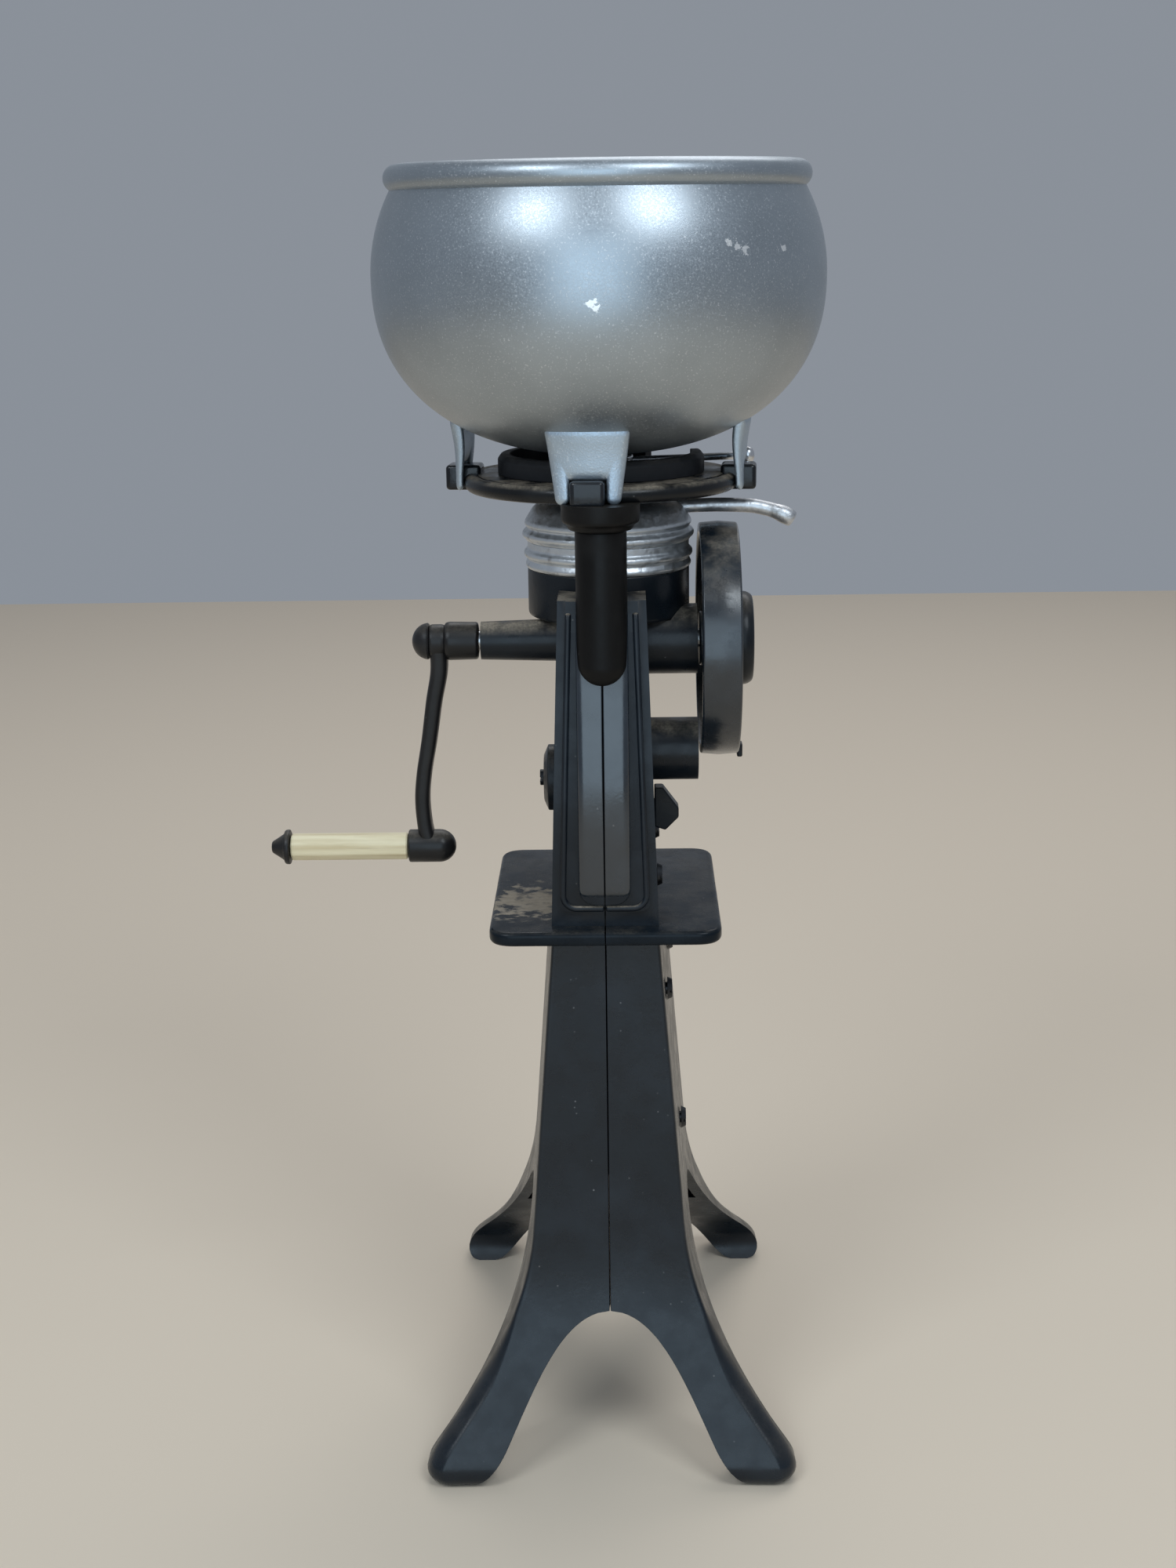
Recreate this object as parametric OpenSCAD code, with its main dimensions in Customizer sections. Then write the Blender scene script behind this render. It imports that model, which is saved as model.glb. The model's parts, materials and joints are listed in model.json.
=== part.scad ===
// Hand-crank cream separator on a four-legged pedestal, made at desk size.
// Origin on the ground, in the middle of the four feet, under the bowl spindle.
// +Z is up, +Y is the back; the crank is on the -X side and the belt pulley on the +X side.

/* [Pedestal] */
// Height of the shelf's top face above the ground
pedestal_h = 91.4; // [84:0.2:100]
// Half width of the column under the shelf
column_half_w = 8.4; // [7.6:0.1:10]
// How far the column's sides lean out from shelf to ground
column_lean = 7.2; // [5:0.1:9]
// How far the legs flare sideways beyond the column
leg_flare_x = 15.5; // [11:0.1:17]
// Column front, ahead of the spindle, at the shelf
column_front = 25; // [23:0.1:27]
// Column back, behind the spindle, at the shelf
column_back = 15; // [13:0.1:17]
// How far the legs flare to the front
leg_flare_y = 11; // [8:0.1:14]
// How far the legs flare to the back
back_flare_y = 24; // [16:0.5:28]
// Wall of the pedestal castings
pedestal_wall = 2.2; // [1.6:0.1:2.8]
// Height of the arch between the two front or back legs
front_arch_h = 26; // [20:0.5:30]
// Height of the arch between the legs of one side
side_arch_h = 36; // [28:0.5:40]
// Depth of the shallow valley along the seam of front and back
seam_valley = 0.8; // [0.2:0.1:1.2]

/* [Shelf] */
// Shelf width
shelf_w = 36.9; // [32:0.1:42]
// Shelf front edge, ahead of the spindle
shelf_front = 30; // [28:0.1:34]
// Shelf back edge, behind the spindle
shelf_back = 17; // [15:0.1:21]
// Shelf thickness
shelf_t = 2.3; // [1.8:0.1:3]
// Corner radius of the shelf
shelf_corner_r = 4; // [2:0.1:6]

/* [Gear housing] */
// Height of the housing's front block above the casing's underside
front_block_h = 5.5; // [4.6:0.1:7]
// Half width of the housing at the shelf
housing_half_w = 8.5; // [8:0.1:9.2]
// How much narrower each half is at the top
housing_lean = 1.6; // [0.8:0.1:2]
// Housing front at the shelf, ahead of the spindle
housing_front = 26.5; // [25.5:0.1:28]
// Housing front at the top
housing_top_front = 20.5; // [19.5:0.1:21.5]
// Housing back, behind the spindle
housing_back = 11; // [10:0.1:12.5]
// Wall of the housing
housing_wall = 1.3; // [1:0.1:1.5]
// Half width of the raised band down the front
band_half_w = 3.95; // [3:0.05:4.6]
// How far the band stands proud
band_t = 1.5; // [0.8:0.1:2]
// How far the panel around the band stands proud
panel_t = 0.7; // [0.3:0.1:1]
// Margin between the panel and the housing's edge
panel_margin = 1.3; // [0.8:0.1:1.8]

/* [Bowl casing and covers] */
// Sideways place of the bowl spindle
spindle_x = 1; // [0.6:0.1:1.2]
// Height of the casing's underside above the crank shaft axis
casing_gap = 3.7; // [3.5:0.05:4.6]
// Outer radius of the casing
casing_r = 13.2; // [12.8:0.1:13.6]
// Height of the casing
casing_h = 7.8; // [7:0.1:8.6]
// Wall of the casing
casing_wall = 1.2; // [0.9:0.1:1.4]
// Floor thickness of the casing
casing_floor = 1.4; // [1.2:0.1:1.8]
// Height of the lower cover
skim_cover_h = 4.4; // [4:0.1:5]
// Height of the upper cover
cream_cover_h = 7.4; // [7:0.1:8]
// Wall of the two covers
cover_wall = 0.9; // [0.7:0.1:1.1]
// How far the covers' ribs stand proud
rib_t = 0.55; // [0.3:0.05:0.7]
// Outer radius of the spouts
spout_r = 1.25; // [1.1:0.05:1.4]
// Bore radius of the spouts
spout_bore_r = 0.75; // [0.5:0.05:0.85]
// Reach of the spouts from the spindle
spout_reach = 30; // [28:0.5:33]

/* [Supply can] */
// Greatest outer radius of the can
can_r = 36; // [33:0.1:38]
// Height from the can's bottom to its widest ring
can_lower_h = 27.9; // [25:0.1:30]
// Height from the widest ring to the middle of the rim roll
can_upper_h = 15; // [13:0.1:17]
// Wall of the can
can_wall = 1.3; // [1:0.1:1.6]
// Radius of the rolled rim's section
rim_roll_r = 2.15; // [1.8:0.05:2.4]
// Width of a lug at its root
lug_root_w = 12.9; // [12:0.1:14]
// Width of a lug at its prongs
lug_tip_w = 10.2; // [9.4:0.1:11]
// Thickness of a lug's prongs
lug_t = 1.1; // [0.9:0.05:1.3]
// Turn of the four lugs about the spindle
lug_turn = -4.6; // [-8:0.1:-2]

/* [Can bracket] */
// Radius of the plate under the can
plate_r = 22.2; // [21.5:0.1:23]
// Thickness of the plate
plate_t = 2.7; // [2.3:0.1:3.2]
// Outer radius of the seat ring
ring_r = 16.7; // [16:0.1:17.5]
// Wall of the seat ring
ring_wall = 2; // [1.4:0.1:2.4]
// Height of the seat ring
ring_h = 3.2; // [2.8:0.1:3.6]
// Width of the tabs that hold the can's lugs
tab_w = 5.3; // [4.6:0.1:5.8]
// Height of a tab above the plate's underside
tab_h = 4; // [3.6:0.1:4.4]
// Post radius
post_r = 4; // [3.8:0.05:4.2]
// Post axis, ahead of the spindle
post_y = 21; // [20.6:0.1:21.4]
// Length of the post from its rounded foot to the collar
post_l = 24.4; // [22:0.1:25]
// Radius of the bracket's collar
collar_r = 6.1; // [5.6:0.05:6.4]
// Height of the collar
collar_h = 3.8; // [3.4:0.1:4.2]
// Radius of the bracket's swivel pin
swivel_pin_r = 2; // [1.6:0.05:2.4]
// Length of the swivel pin
swivel_pin_l = 15; // [10:0.5:17]

/* [Crank and pulley] */
// Crank shaft axis, ahead of the spindle
crank_y = 4.5; // [4.2:0.1:5]
// Crank shaft axis above the shelf
crank_rise = 41.9; // [41.6:0.05:42.1]
// Crank shaft radius
shaft_r = 1.6; // [1.4:0.05:1.7]
// Crank throw
crank_throw = 34.8; // [30:0.1:38]
// Length of the crank shaft's housing tube
tube_reach = 19.9; // [18:0.1:22]
// Radius of the tube at the housing
tube_root_r = 3.5; // [3.3:0.05:3.7]
// Radius of the tube at its end
tube_tip_r = 3.1; // [3:0.05:3.3]
// Thickness of the arm, front to back
arm_t = 4.6; // [4:0.1:5.4]
// Width of the arm at its top
arm_top_w = 3; // [2.6:0.1:3.4]
// Width of the arm at its foot
arm_foot_w = 2.5; // [2.2:0.1:2.8]
// Radius of the boss that holds the grip's pin
grip_boss_r = 2.75; // [2.5:0.05:3]
// Length of the grip
grip_l = 19.3; // [16:0.1:24]
// Grip size across its flats
grip_flats = 4.3; // [3.8:0.1:5]
// Radius of the grip's pin
grip_pin_r = 0.9; // [0.7:0.05:1.1]
// Belt pulley radius
pulley_r = 19; // [18.6:0.1:19.4]
// Belt pulley width
pulley_w = 6.2; // [5.6:0.1:7]
// Wall of the pulley's rim
pulley_rim = 1.8; // [1.4:0.1:2.4]
// Radius of the upper bearing boss on the right
upper_boss_r = 5.7; // [5.2:0.05:5.9]
// Radius of the lower bearing boss on the right
lower_boss_r = 5.1; // [4.6:0.05:5.4]
// Reach of the two bosses from the seam
boss_reach = 15.3; // [14.6:0.1:15.6]

/* [Gear train] */
// Module of the spur gears
spur_module = 0.56; // [0.54:0.01:0.57]
// Teeth of the pinion on the crank shaft
pinion_teeth = 10; // [9:1:10]
// Teeth of the large gear
large_gear_teeth = 54; // [52:1:54]
// Width of the spur gears
spur_w = 2.4; // [2:0.1:2.6]
// Layshaft axis, ahead of the spindle
lay_y = 8; // [7.8:0.1:8.3]
// Teeth of the worm wheel
wheel_teeth = 18; // [16:1:20]
// Pitch radius of the worm
worm_pitch_r = 1.9; // [1.8:0.05:2]
// Half of the worm's thread depth
worm_thread = 0.45; // [0.35:0.05:0.5]
// Radius of the bowl spindle
spindle_r = 1.2; // [1:0.05:1.25]
// Outer radius of the bearing bushes
bush_r = 2.2; // [2:0.05:2.3]
// Length of each bush
bush_l = 3; // [2:0.1:3.6]

/* [Separator bowl] */
// Gap between the separator bowl and the rim of the skim cover
bowl_gap = 0.7; // [0.3:0.1:1.7]
// Height of the bowl's straight shell
bowl_h = 7.4; // [6.6:0.1:8]
// Height of the conical hood
hood_h = 5.2; // [4.4:0.1:5.4]
// Wall of bowl and hood
bowl_wall = 0.9; // [0.7:0.05:1.1]

/* [Hidden] */
$fn = 64;

// Named clearances and small standard sizes
run_fit = 0.05;
seat_gap = 0.3;
eps = 0.01;
half = 0.5;
black = [0.06, 0.065, 0.075];
silver = [0.66, 0.69, 0.72];
steel = [0.5, 0.5, 0.52];
bronze = [0.62, 0.45, 0.22];
wood = [0.86, 0.8, 0.58];

// Heights built up from the shelf
shelf_z = pedestal_h;
crank_z = shelf_z + crank_rise;
casing_z = crank_z + casing_gap;
casing_top = casing_z + casing_h;
skim_top = casing_top + skim_cover_h;
cream_top = skim_top + cream_cover_h;
plate_gap = 0.8;
plate_z = cream_top + plate_gap;
plate_top = plate_z + plate_t;
ring_top = plate_top + ring_h;
can_z = ring_top + eps;
can_wide_z = can_z + can_lower_h;
rim_z = can_wide_z + can_upper_h;
housing_top = casing_z + front_block_h;
housing_h = housing_top - shelf_z;
bowl_r = casing_r - casing_wall - cover_wall - bowl_gap;
collar_z = plate_z - collar_h;
post_top = collar_z - eps;
post_foot = post_top - post_l;

// Gear centres
spur_centres = spur_module * (pinion_teeth + large_gear_teeth) / 2;
lay_z = crank_z - sqrt(pow(spur_centres, 2) - pow(lay_y - crank_y, 2));
wheel_pitch_r = lay_y - worm_pitch_r;
worm_lead = 2 * PI * wheel_pitch_r / wheel_teeth;
large_gear_x = -4.4;
lay_boss_z = lay_z;

// Smooth curves
function flare(z, height, power = 2.3) = z >= height ? 0 : pow(1 - z / height, power);
function arc_points(c, r, a0, a1, n = 8) =
    [for (i = [0 : n]) let (a = a0 + (a1 - a0) * i / n) [c[0] + r * cos(a), c[1] + r * sin(a)]];
function bezier(p0, p1, p2, n = 8) =
    [for (i = [0 : n]) let (t = i / n) (1 - t) * (1 - t) * p0 + 2 * t * (1 - t) * p1 + t * t * p2];

// ---------- Pedestal ----------
leg_top = 40;
toe_h = 4;
leg_power = 2.05;
back_splay = 1.1;
back_toe_in = 3;
leg_levels = 18;
leg_solid_top = 22;
toe_edge_r = 2;
levels = concat([0, toe_edge_r * 0.1, toe_edge_r * 0.4, toe_edge_r, toe_h],
    [for (i = [1 : leg_levels]) toe_h + (leg_top - toe_h) * i / leg_levels],
    [leg_top + (shelf_z - shelf_t - leg_top) / 2, shelf_z - shelf_t / 2]);

// How far the faces draw in above the floor, as a quarter circle
function toe_round(z) = let (gone = max(toe_edge_r - z, 0))
    toe_edge_r - sqrt(pow(toe_edge_r, 2) - pow(gone, 2));
// Share of the legs' flare that is reached at height z: all of it over the toe
function leg_flare(z) =
    z >= leg_top ? 0 : pow(min((leg_top - z) / (leg_top - toe_h), 1), leg_power);
function column_w(z) = column_half_w + column_lean * (1 - z / shelf_z)
    + leg_flare_x * leg_flare(z);
function front_d(z) = column_front + (column_lean - 1) * (1 - z / shelf_z)
    + leg_flare_y * leg_flare(z);
function back_d(z) = column_back + (column_lean + 2) * (1 - z / shelf_z)
    + back_flare_y * leg_flare(z);
function splay(z) = back_splay - back_toe_in * leg_flare(z);
// The corner of column and leg is a narrow slanted face that widens on the legs and toes
column_crease = 0.4;
leg_crease = 1.7;
toe_crease = 1.2;
crease_top = 26;
crease_fade = 11;
toe_fade = 9;
crease_d_max = 3.4;
function crease_w(z) = column_crease
    + leg_crease * min(max((crease_top - z) / crease_fade, 0), 1)
    + toe_crease * pow(max(1 - z / toe_fade, 0), 2);
function crease_d(z) = min(2 * crease_w(z), crease_d_max);

// Half section of the column on the -X side, at height z and inset by a wall
function half_section(z, inset) =
    let (in = inset + toe_round(z), w = column_w(z) - in, f = front_d(z) - in,
        b = back_d(z) - in, c = crease_w(z), cd = crease_d(z), bw = w + splay(z))
    [[0, -f + seam_valley], [-w + c, -f], [-w, -f + cd], [-bw, b - cd], [-bw + c, b],
        [0, b - seam_valley]];

// The column between the first and last of the given heights
module loft(inset, heights, z_shift = 0) {
    rings = [for (z = heights) half_section(z, inset)];
    count = len(rings[0]);
    last = len(heights) - 1;
    points = [for (k = [0 : last]) for (p = rings[k])
        [p[0], p[1], heights[k] + (k == last ? z_shift : 0)]];
    sides = [for (k = [0 : last - 1]) for (i = [0 : count - 1]) let (j = (i + 1) % count)
        each [[k * count + i, (k + 1) * count + j, (k + 1) * count + i],
            [k * count + i, k * count + j, (k + 1) * count + j]]];
    bottom = [[for (i = [count - 1 : -1 : 0]) i]];
    top = [[for (i = [0 : count - 1]) last * count + i]];
    polyhedron(points, concat(sides, bottom, top));
}

// Front arch: an ellipse that flares at its foot and rounds the inner side of each toe
front_arch_span = 14;
front_arch_foot = 6.3;
toe_trim_h = 6.5;
toe_trim_w = 3;
function toe_trim(z) = toe_trim_w * (1 - sqrt(1 - pow(max(1 - z / toe_trim_h, 0), 2)));
function front_gap(z) = front_arch_span * sqrt(max(1 - pow(z / front_arch_h, 2), 0))
    + front_arch_foot * flare(z, front_arch_h) + toe_trim(z);
// Side arch: each leg is left this deep from front to back, and lengthens into a toe
leg_depth = 4.5;
toe_extra = 4.5;
toe_rise = 10;
crown_power = 3;
function leg_d(z) = leg_depth + toe_extra * pow(max(1 - z / toe_rise, 0), 2);
function side_gap(z, d) = (d - leg_d(z)) * sqrt(max(1 - pow(z / side_arch_h, crown_power), 0));
arch_steps = 24;
// Height of step k of an arch, with the steps closer together at the crown
function arch_z(k, h) = h * sin(90 * k / arch_steps);
module arch_cut(left, right) {
    n = arch_steps;
    polygon(concat([for (k = [0 : n]) right[k]], [for (k = [n : -1 : 0]) left[k]],
        [[left[0][0], -1], [right[0][0], -1]]));
}
module front_arch() {
    edge = [for (k = [0 : arch_steps]) let (z = arch_z(k, front_arch_h)) [front_gap(z), z]];
    arch_cut([for (p = edge) [-p[0], p[1]]], edge);
}
module side_arch() {
    heights = [for (k = [0 : arch_steps]) arch_z(k, side_arch_h)];
    arch_cut([for (z = heights) [-side_gap(z, front_d(z)), z]],
        [for (z = heights) [side_gap(z, back_d(z)), z]]);
}
reach = 200;

module shelf_outline() {
    w = shelf_w / 2;
    r = shelf_corner_r;
    difference() {
        union() {
            translate([-w + r, -shelf_front]) square([2 * (w - r), shelf_front + shelf_back]);
            translate([-w, -shelf_front + r]) square([2 * w, shelf_front + shelf_back - 2 * r]);
            for (x = [-w + r, w - r], y = [-shelf_front + r, shelf_back - r])
                translate([x, y]) circle(r);
        }
        translate([0, -reach]) square([reach, 2 * reach]);
    }
}

// Screw places as [y, z], and their shared sizes
screw_r = 1;
screw_head_r = 1.9;
screw_head_t = 0.8;
pillar_r = 2.1;
pedestal_screw_front = 8;
pedestal_screw_back = 7;
pedestal_screw_drop = 14;
pedestal_screw_step = 28;
pedestal_screw_places = [[pedestal_screw_front - column_front, shelf_z - pedestal_screw_drop],
    [column_back - pedestal_screw_back, shelf_z - pedestal_screw_drop],
    [(column_back - column_front) / 2, shelf_z - pedestal_screw_drop - pedestal_screw_step]];
housing_screw_front = 6.5;
housing_screw_back = 3.8;
housing_screw_top_back = 3.6;
housing_screw_rise = 6.5;
housing_screw_under_casing = 5.6;
housing_screw_places = [[housing_screw_front - housing_front, shelf_z + housing_screw_rise],
    [housing_back - housing_screw_back, shelf_z + housing_screw_rise],
    [housing_back - housing_screw_top_back, casing_z - housing_screw_under_casing]];

module pillars(places, x0, x1, r) {
    for (p = places) translate([x0, p[0], p[1]]) rotate([0, 90, 0])
        cylinder(r = r, h = x1 - x0, $fn = 32);
}

module pedestal_half() {
    difference() {
        union() {
            difference() {
                loft(0, levels);
                loft(pedestal_wall, [for (z = levels) if (z >= leg_solid_top) z], -shelf_t / 2);
            }
            translate([0, 0, shelf_z - shelf_t]) linear_extrude(shelf_t) shelf_outline();
            for (p = pedestal_screw_places)
                pillars([p], pedestal_wall / 2 - column_w(p[1]), 0, pillar_r);
        }
        translate([0, reach / 2, 0]) rotate([90, 0, 0])
            linear_extrude(reach) front_arch();
        translate([-reach / 2, 0, 0]) rotate([90, 0, 90]) linear_extrude(reach) side_arch();
        pillars(pedestal_screw_places, -reach, reach, screw_r);
    }
}
module pedestal_left() {
    color(black) pedestal_half();
}
module pedestal_right() {
    color(black) mirror([1, 0, 0]) pedestal_half();
}

// A pan-head screw that enters from the +X side at face x and ends inside the left half
module side_screw(face, end) {
    difference() {
        union() {
            translate([end, 0, 0]) rotate([0, 90, 0])
                cylinder(r = screw_r, h = face - end + screw_head_t / 4);
            translate([face, 0, 0]) rotate([0, 90, 0])
                cylinder(r1 = screw_head_r, r2 = screw_head_r * 0.8, h = screw_head_t);
        }
        translate([face + screw_head_t / 2, -screw_r * 2, -slot_w / 2])
            cube([screw_head_t, 4 * screw_r, slot_w]);
    }
}
slot_w = 0.5;
screw_end_gap = 1.2;
module pedestal_screws() {
    color(steel) for (p = pedestal_screw_places) {
        low = p[1] - screw_head_r;
        far = (p[0] + screw_head_r + front_d(low)) / (back_d(low) + front_d(low));
        face = column_w(low) + back_splay * far;
        translate([0, p[0], p[1]]) side_screw(face, -column_w(p[1]) + screw_end_gap);
    }
}

// ---------- Gear housing ----------
function housing_w(z) = housing_half_w - housing_lean * (z - shelf_z) / housing_h;
knee_up = 12.6;
knee_pull = 32.6;
// Side outline of the housing, moved in by inset; top is the height it stops at
module housing_side(inset, floor_z, top) {
    p0 = [-housing_front + inset, shelf_z + knee_up];
    p1 = [-housing_front + inset, shelf_z + knee_pull];
    p2 = [-housing_top_front + inset, housing_top];
    polygon(concat([[-housing_front + inset, floor_z]],
        [for (p = bezier(p0, p1, p2)) if (p[1] < top) p],
        [[bezier_y_at(p0, p1, p2, top), top], [housing_back - inset, top],
        [housing_back - inset, floor_z]]));
}
function bezier_y_at(p0, p1, p2, z) =
    let (a = p0[1] - 2 * p1[1] + p2[1], b = 2 * (p1[1] - p0[1]), c = p0[1] - z,
        t = min((-b + sqrt(max(b * b - 4 * a * c, 0))) / (2 * a), 1))
    (1 - t) * (1 - t) * p0[0] + 2 * t * (1 - t) * p1[0] + t * t * p2[0];
module housing_slab(inset, floor_z, top, x0, x1) {
    translate([x0, 0, 0]) rotate([90, 0, 90]) linear_extrude(x1 - x0)
        housing_side(inset, floor_z, top);
}
// Front outline of one half, leaning in towards the top
module housing_front_outline(inset, floor_z, top) {
    polygon([[0, floor_z], [-housing_w(floor_z) + inset, floor_z],
        [-housing_w(top) + inset, top], [0, top]]);
}
module along_y(y0, y1) {
    translate([0, y1, 0]) rotate([90, 0, 0]) linear_extrude(y1 - y0) children();
}
module band_outline(w, foot_z, top, r) {
    polygon(concat([[0, foot_z]], arc_points([-w + r, foot_z + r], r, 270, 180, 6),
        [[-w, top], [0, top]]));
}
floor_t = 2;
band_foot = 4;
panel_foot = 2.6;
band_corner_r = 2.6;
panel_corner_r = 1.6;
layshaft_left_x = -6.1;

module housing_half() {
    difference() {
        union() {
            intersection() {
                housing_slab(0, shelf_z, housing_top, -reach, 0);
                along_y(-reach, reach) housing_front_outline(0, shelf_z, housing_top);
            }
            intersection() {
                housing_slab(-panel_t, shelf_z, housing_top, -reach, 0);
                along_y(-reach, 0) housing_front_outline(panel_margin, shelf_z, housing_top);
                along_y(-reach, 0)
                    band_outline(housing_w(shelf_z) - panel_margin, shelf_z + panel_foot,
                        housing_top, panel_corner_r);
            }
            intersection() {
                housing_slab(-band_t, shelf_z, housing_top - band_t, -reach, 0);
                along_y(-reach, 0)
                    band_outline(band_half_w, shelf_z + band_foot, housing_top - band_t, band_corner_r);
            }
        }
        intersection() {
            housing_slab(housing_wall, shelf_z + floor_t, casing_z + eps, -reach, 0);
            along_y(-reach, reach)
                housing_front_outline(housing_wall, shelf_z + floor_t, casing_z + eps);
        }
        above_casing_seat();
        post_shape();
    }
    intersection() {
        pillars(housing_screw_places, -reach, 0, pillar_r);
        along_y(-reach, reach) housing_front_outline(half, shelf_z, housing_top);
    }
}
// Everything above the casing's seat, behind the front block, is open for the casing
module above_casing_seat() {
    translate([spindle_x, 0, casing_z]) cylinder(r = casing_r + run_fit, h = reach);
    translate([-reach / 2, 0, casing_z]) cube([reach, reach, reach]);
}
module post_shape() {
    translate([0, -post_y, post_foot + post_r]) {
        sphere(post_r);
        cylinder(r = post_r, h = reach);
    }
}
module x_cylinder(x0, x1, r0, r1) {
    translate([x0, 0, 0]) rotate([0, 90, 0]) cylinder(r1 = r0, r2 = r1, h = x1 - x0);
}
module at_crank() {
    translate([0, -crank_y, crank_z]) children();
}
module at_layshaft() {
    translate([0, -lay_y, lay_z]) children();
}

module housing_left() {
    color(black) difference() {
        union() {
            housing_half();
            at_crank() x_cylinder(-tube_reach, -housing_w(crank_z) + housing_wall,
                tube_tip_r, tube_root_r);
            at_layshaft() x_cylinder(-housing_w(lay_z) + half, layshaft_left_x + 1.2,
                bush_r + 1, bush_r + 1);
        }
        at_crank() x_cylinder(-reach, 0, bush_r, bush_r);
        at_layshaft() x_cylinder(-housing_w(lay_z) + 0.7, 0, bush_r, bush_r);
        pillars(housing_screw_places, -housing_half_w + screw_end_gap, reach, screw_r);
        cap_place() x_cylinder(-reach, reach, cap_spigot_r, cap_spigot_r);
    }
}
module housing_right() {
    color(black) difference() {
        union() {
            mirror([1, 0, 0]) housing_half();
            at_crank() x_cylinder(housing_w(crank_z) - housing_wall, boss_reach,
                upper_boss_r, upper_boss_r);
            at_layshaft() x_cylinder(housing_w(lay_z) - housing_wall, boss_reach,
                lower_boss_r, lower_boss_r);
        }
        at_crank() x_cylinder(0, reach, bush_r, bush_r);
        at_layshaft() x_cylinder(0, boss_reach - 1.4, bush_r, bush_r);
        pillars(housing_screw_places, -reach, reach, screw_r);
        drain_place() x_cylinder(-reach, reach, drain_spigot_r, drain_spigot_r);
        above_casing_seat();
    }
}
module housing_screws() {
    color(steel) for (p = housing_screw_places) {
        face = housing_w(p[1] - screw_head_r);
        translate([0, p[0], p[1]]) side_screw(face, -housing_half_w + screw_end_gap);
    }
}

// Round cap over the inspection hole on the left
cap_y = 9;
cap_drop = 4.425;
cap_z = lay_z - cap_drop;
cap_r = 5.4;
cap_t = 1.1;
cap_dome = 0.7;
cap_nub_r = 1.3;
cap_spigot_r = 1.9;
module cap_place() {
    translate([0, -cap_y, cap_z]) children();
}
module inspection_cap() {
    face = -housing_w(cap_z - cap_r);
    color(black) cap_place() difference() {
        union() {
            x_cylinder(face - cap_t, face, cap_r, cap_r);
            x_cylinder(face - cap_t - cap_dome, face - cap_t, cap_r - 1.6, cap_r);
            x_cylinder(face - cap_t - 2 * cap_dome, face - cap_t, cap_nub_r, cap_nub_r);
            x_cylinder(face - eps, face + 2.2, cap_spigot_r - run_fit, cap_spigot_r - run_fit);
        }
        translate([face - cap_t - 2.5 * cap_dome, -cap_nub_r * 2, -slot_w / 2])
            cube([cap_dome, 4 * cap_nub_r, slot_w]);
    }
}

// Short lip that drains spilt oil, on the right
drain_y = 6;
drain_drop = 10.325;
drain_z = lay_z - drain_drop;
drain_lip_h = 3.5;
drain_w = 3;
drain_spigot_r = 1.2;
module drain_place() {
    translate([0, -drain_y, drain_z]) children();
}
module drain_spout() {
    face = housing_w(drain_z - drain_lip_h);
    color(black) drain_place() {
        translate([0, drain_w / 2, 0]) rotate([90, 0, 0]) linear_extrude(drain_w)
            polygon([[face, drain_lip_h], [face + 1.4, drain_lip_h], [face + 4, 0], [face + 4, -1.6],
                [face + 1.8, -3.8], [face, -3.2]]);
        x_cylinder(face - 2.2, face + eps, drain_spigot_r - run_fit, drain_spigot_r - run_fit);
    }
}

// ---------- Bowl casing and covers ----------
module at_spindle() {
    translate([spindle_x, 0, 0]) children();
}
// A turned piece about the spindle from [radius, height] points
module turned(points) {
    at_spindle() rotate_extrude() polygon(points);
}
neck_r = 2.4;
neck_h = 3.4;
seat_lip = 1.3;
module bowl_casing() {
    r1 = casing_r;
    color(black) turned([[neck_r, casing_z], [r1, casing_z], [r1, casing_top],
        [r1 - casing_wall, casing_top], [r1 - casing_wall, casing_z + casing_floor],
        [neck_r + 1.2, casing_z + casing_floor], [neck_r + 1.2, casing_z + neck_h],
        [neck_r, casing_z + neck_h]]);
}
// Tube along +X that droops at its end, so that its mouth faces outwards and down
spout_bend_r = 14;
spout_bend = 32;
module spout_section() {
    difference() {
        circle(spout_r, $fn = 32);
        circle(spout_bore_r, $fn = 32);
    }
}
module spout_tube(root) {
    level = spout_reach - spout_bend_r * sin(spout_bend);
    translate([root, 0, 0]) rotate([0, 90, 0]) linear_extrude(level - root) spout_section();
    translate([level, 0, -spout_bend_r]) rotate([0, -90, -90])
        rotate_extrude(angle = spout_bend) translate([spout_bend_r, 0]) spout_section();
}
skim_spout_turn = 90;
skim_spout_drop = 1.6;
skim_spout_z = skim_top - skim_spout_drop;
cream_spout_rise = 4.9;
cream_spout_z = skim_top + cream_spout_rise;
spout_root_in = 2.4;
cream_hole_r = 3;
shoulder_r = 12;
shoulder_h = 5.7;
module at_skim_spout() {
    translate([spindle_x, 0, skim_spout_z]) rotate([0, 0, skim_spout_turn]) children();
}
module at_cream_spout() {
    translate([spindle_x, 0, cream_spout_z]) children();
}
module skim_cover() {
    r1 = casing_r;
    w = cover_wall;
    r0 = r1 - casing_wall;
    rib_z = casing_top + skim_cover_h / 2;
    color(silver) difference() {
        turned([[r0 - w, casing_top - seat_lip], [r0, casing_top - seat_lip], [r0, casing_top],
            [r1, casing_top], [r1 + 0.2, rib_z - 0.9], [r1 + rib_t, rib_z], [r1 + rib_t, rib_z + 0.7],
            [r1, rib_z + 1.3], [r1, skim_top], [r1 - w, skim_top], [r1 - w, casing_top + 0.4],
            [r0 - w, casing_top]]);
        at_skim_spout() x_cylinder(0, reach, spout_r, spout_r);
    }
}
module skim_spout() {
    color(silver) at_skim_spout() spout_tube(casing_r - cover_wall);
}
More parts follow.
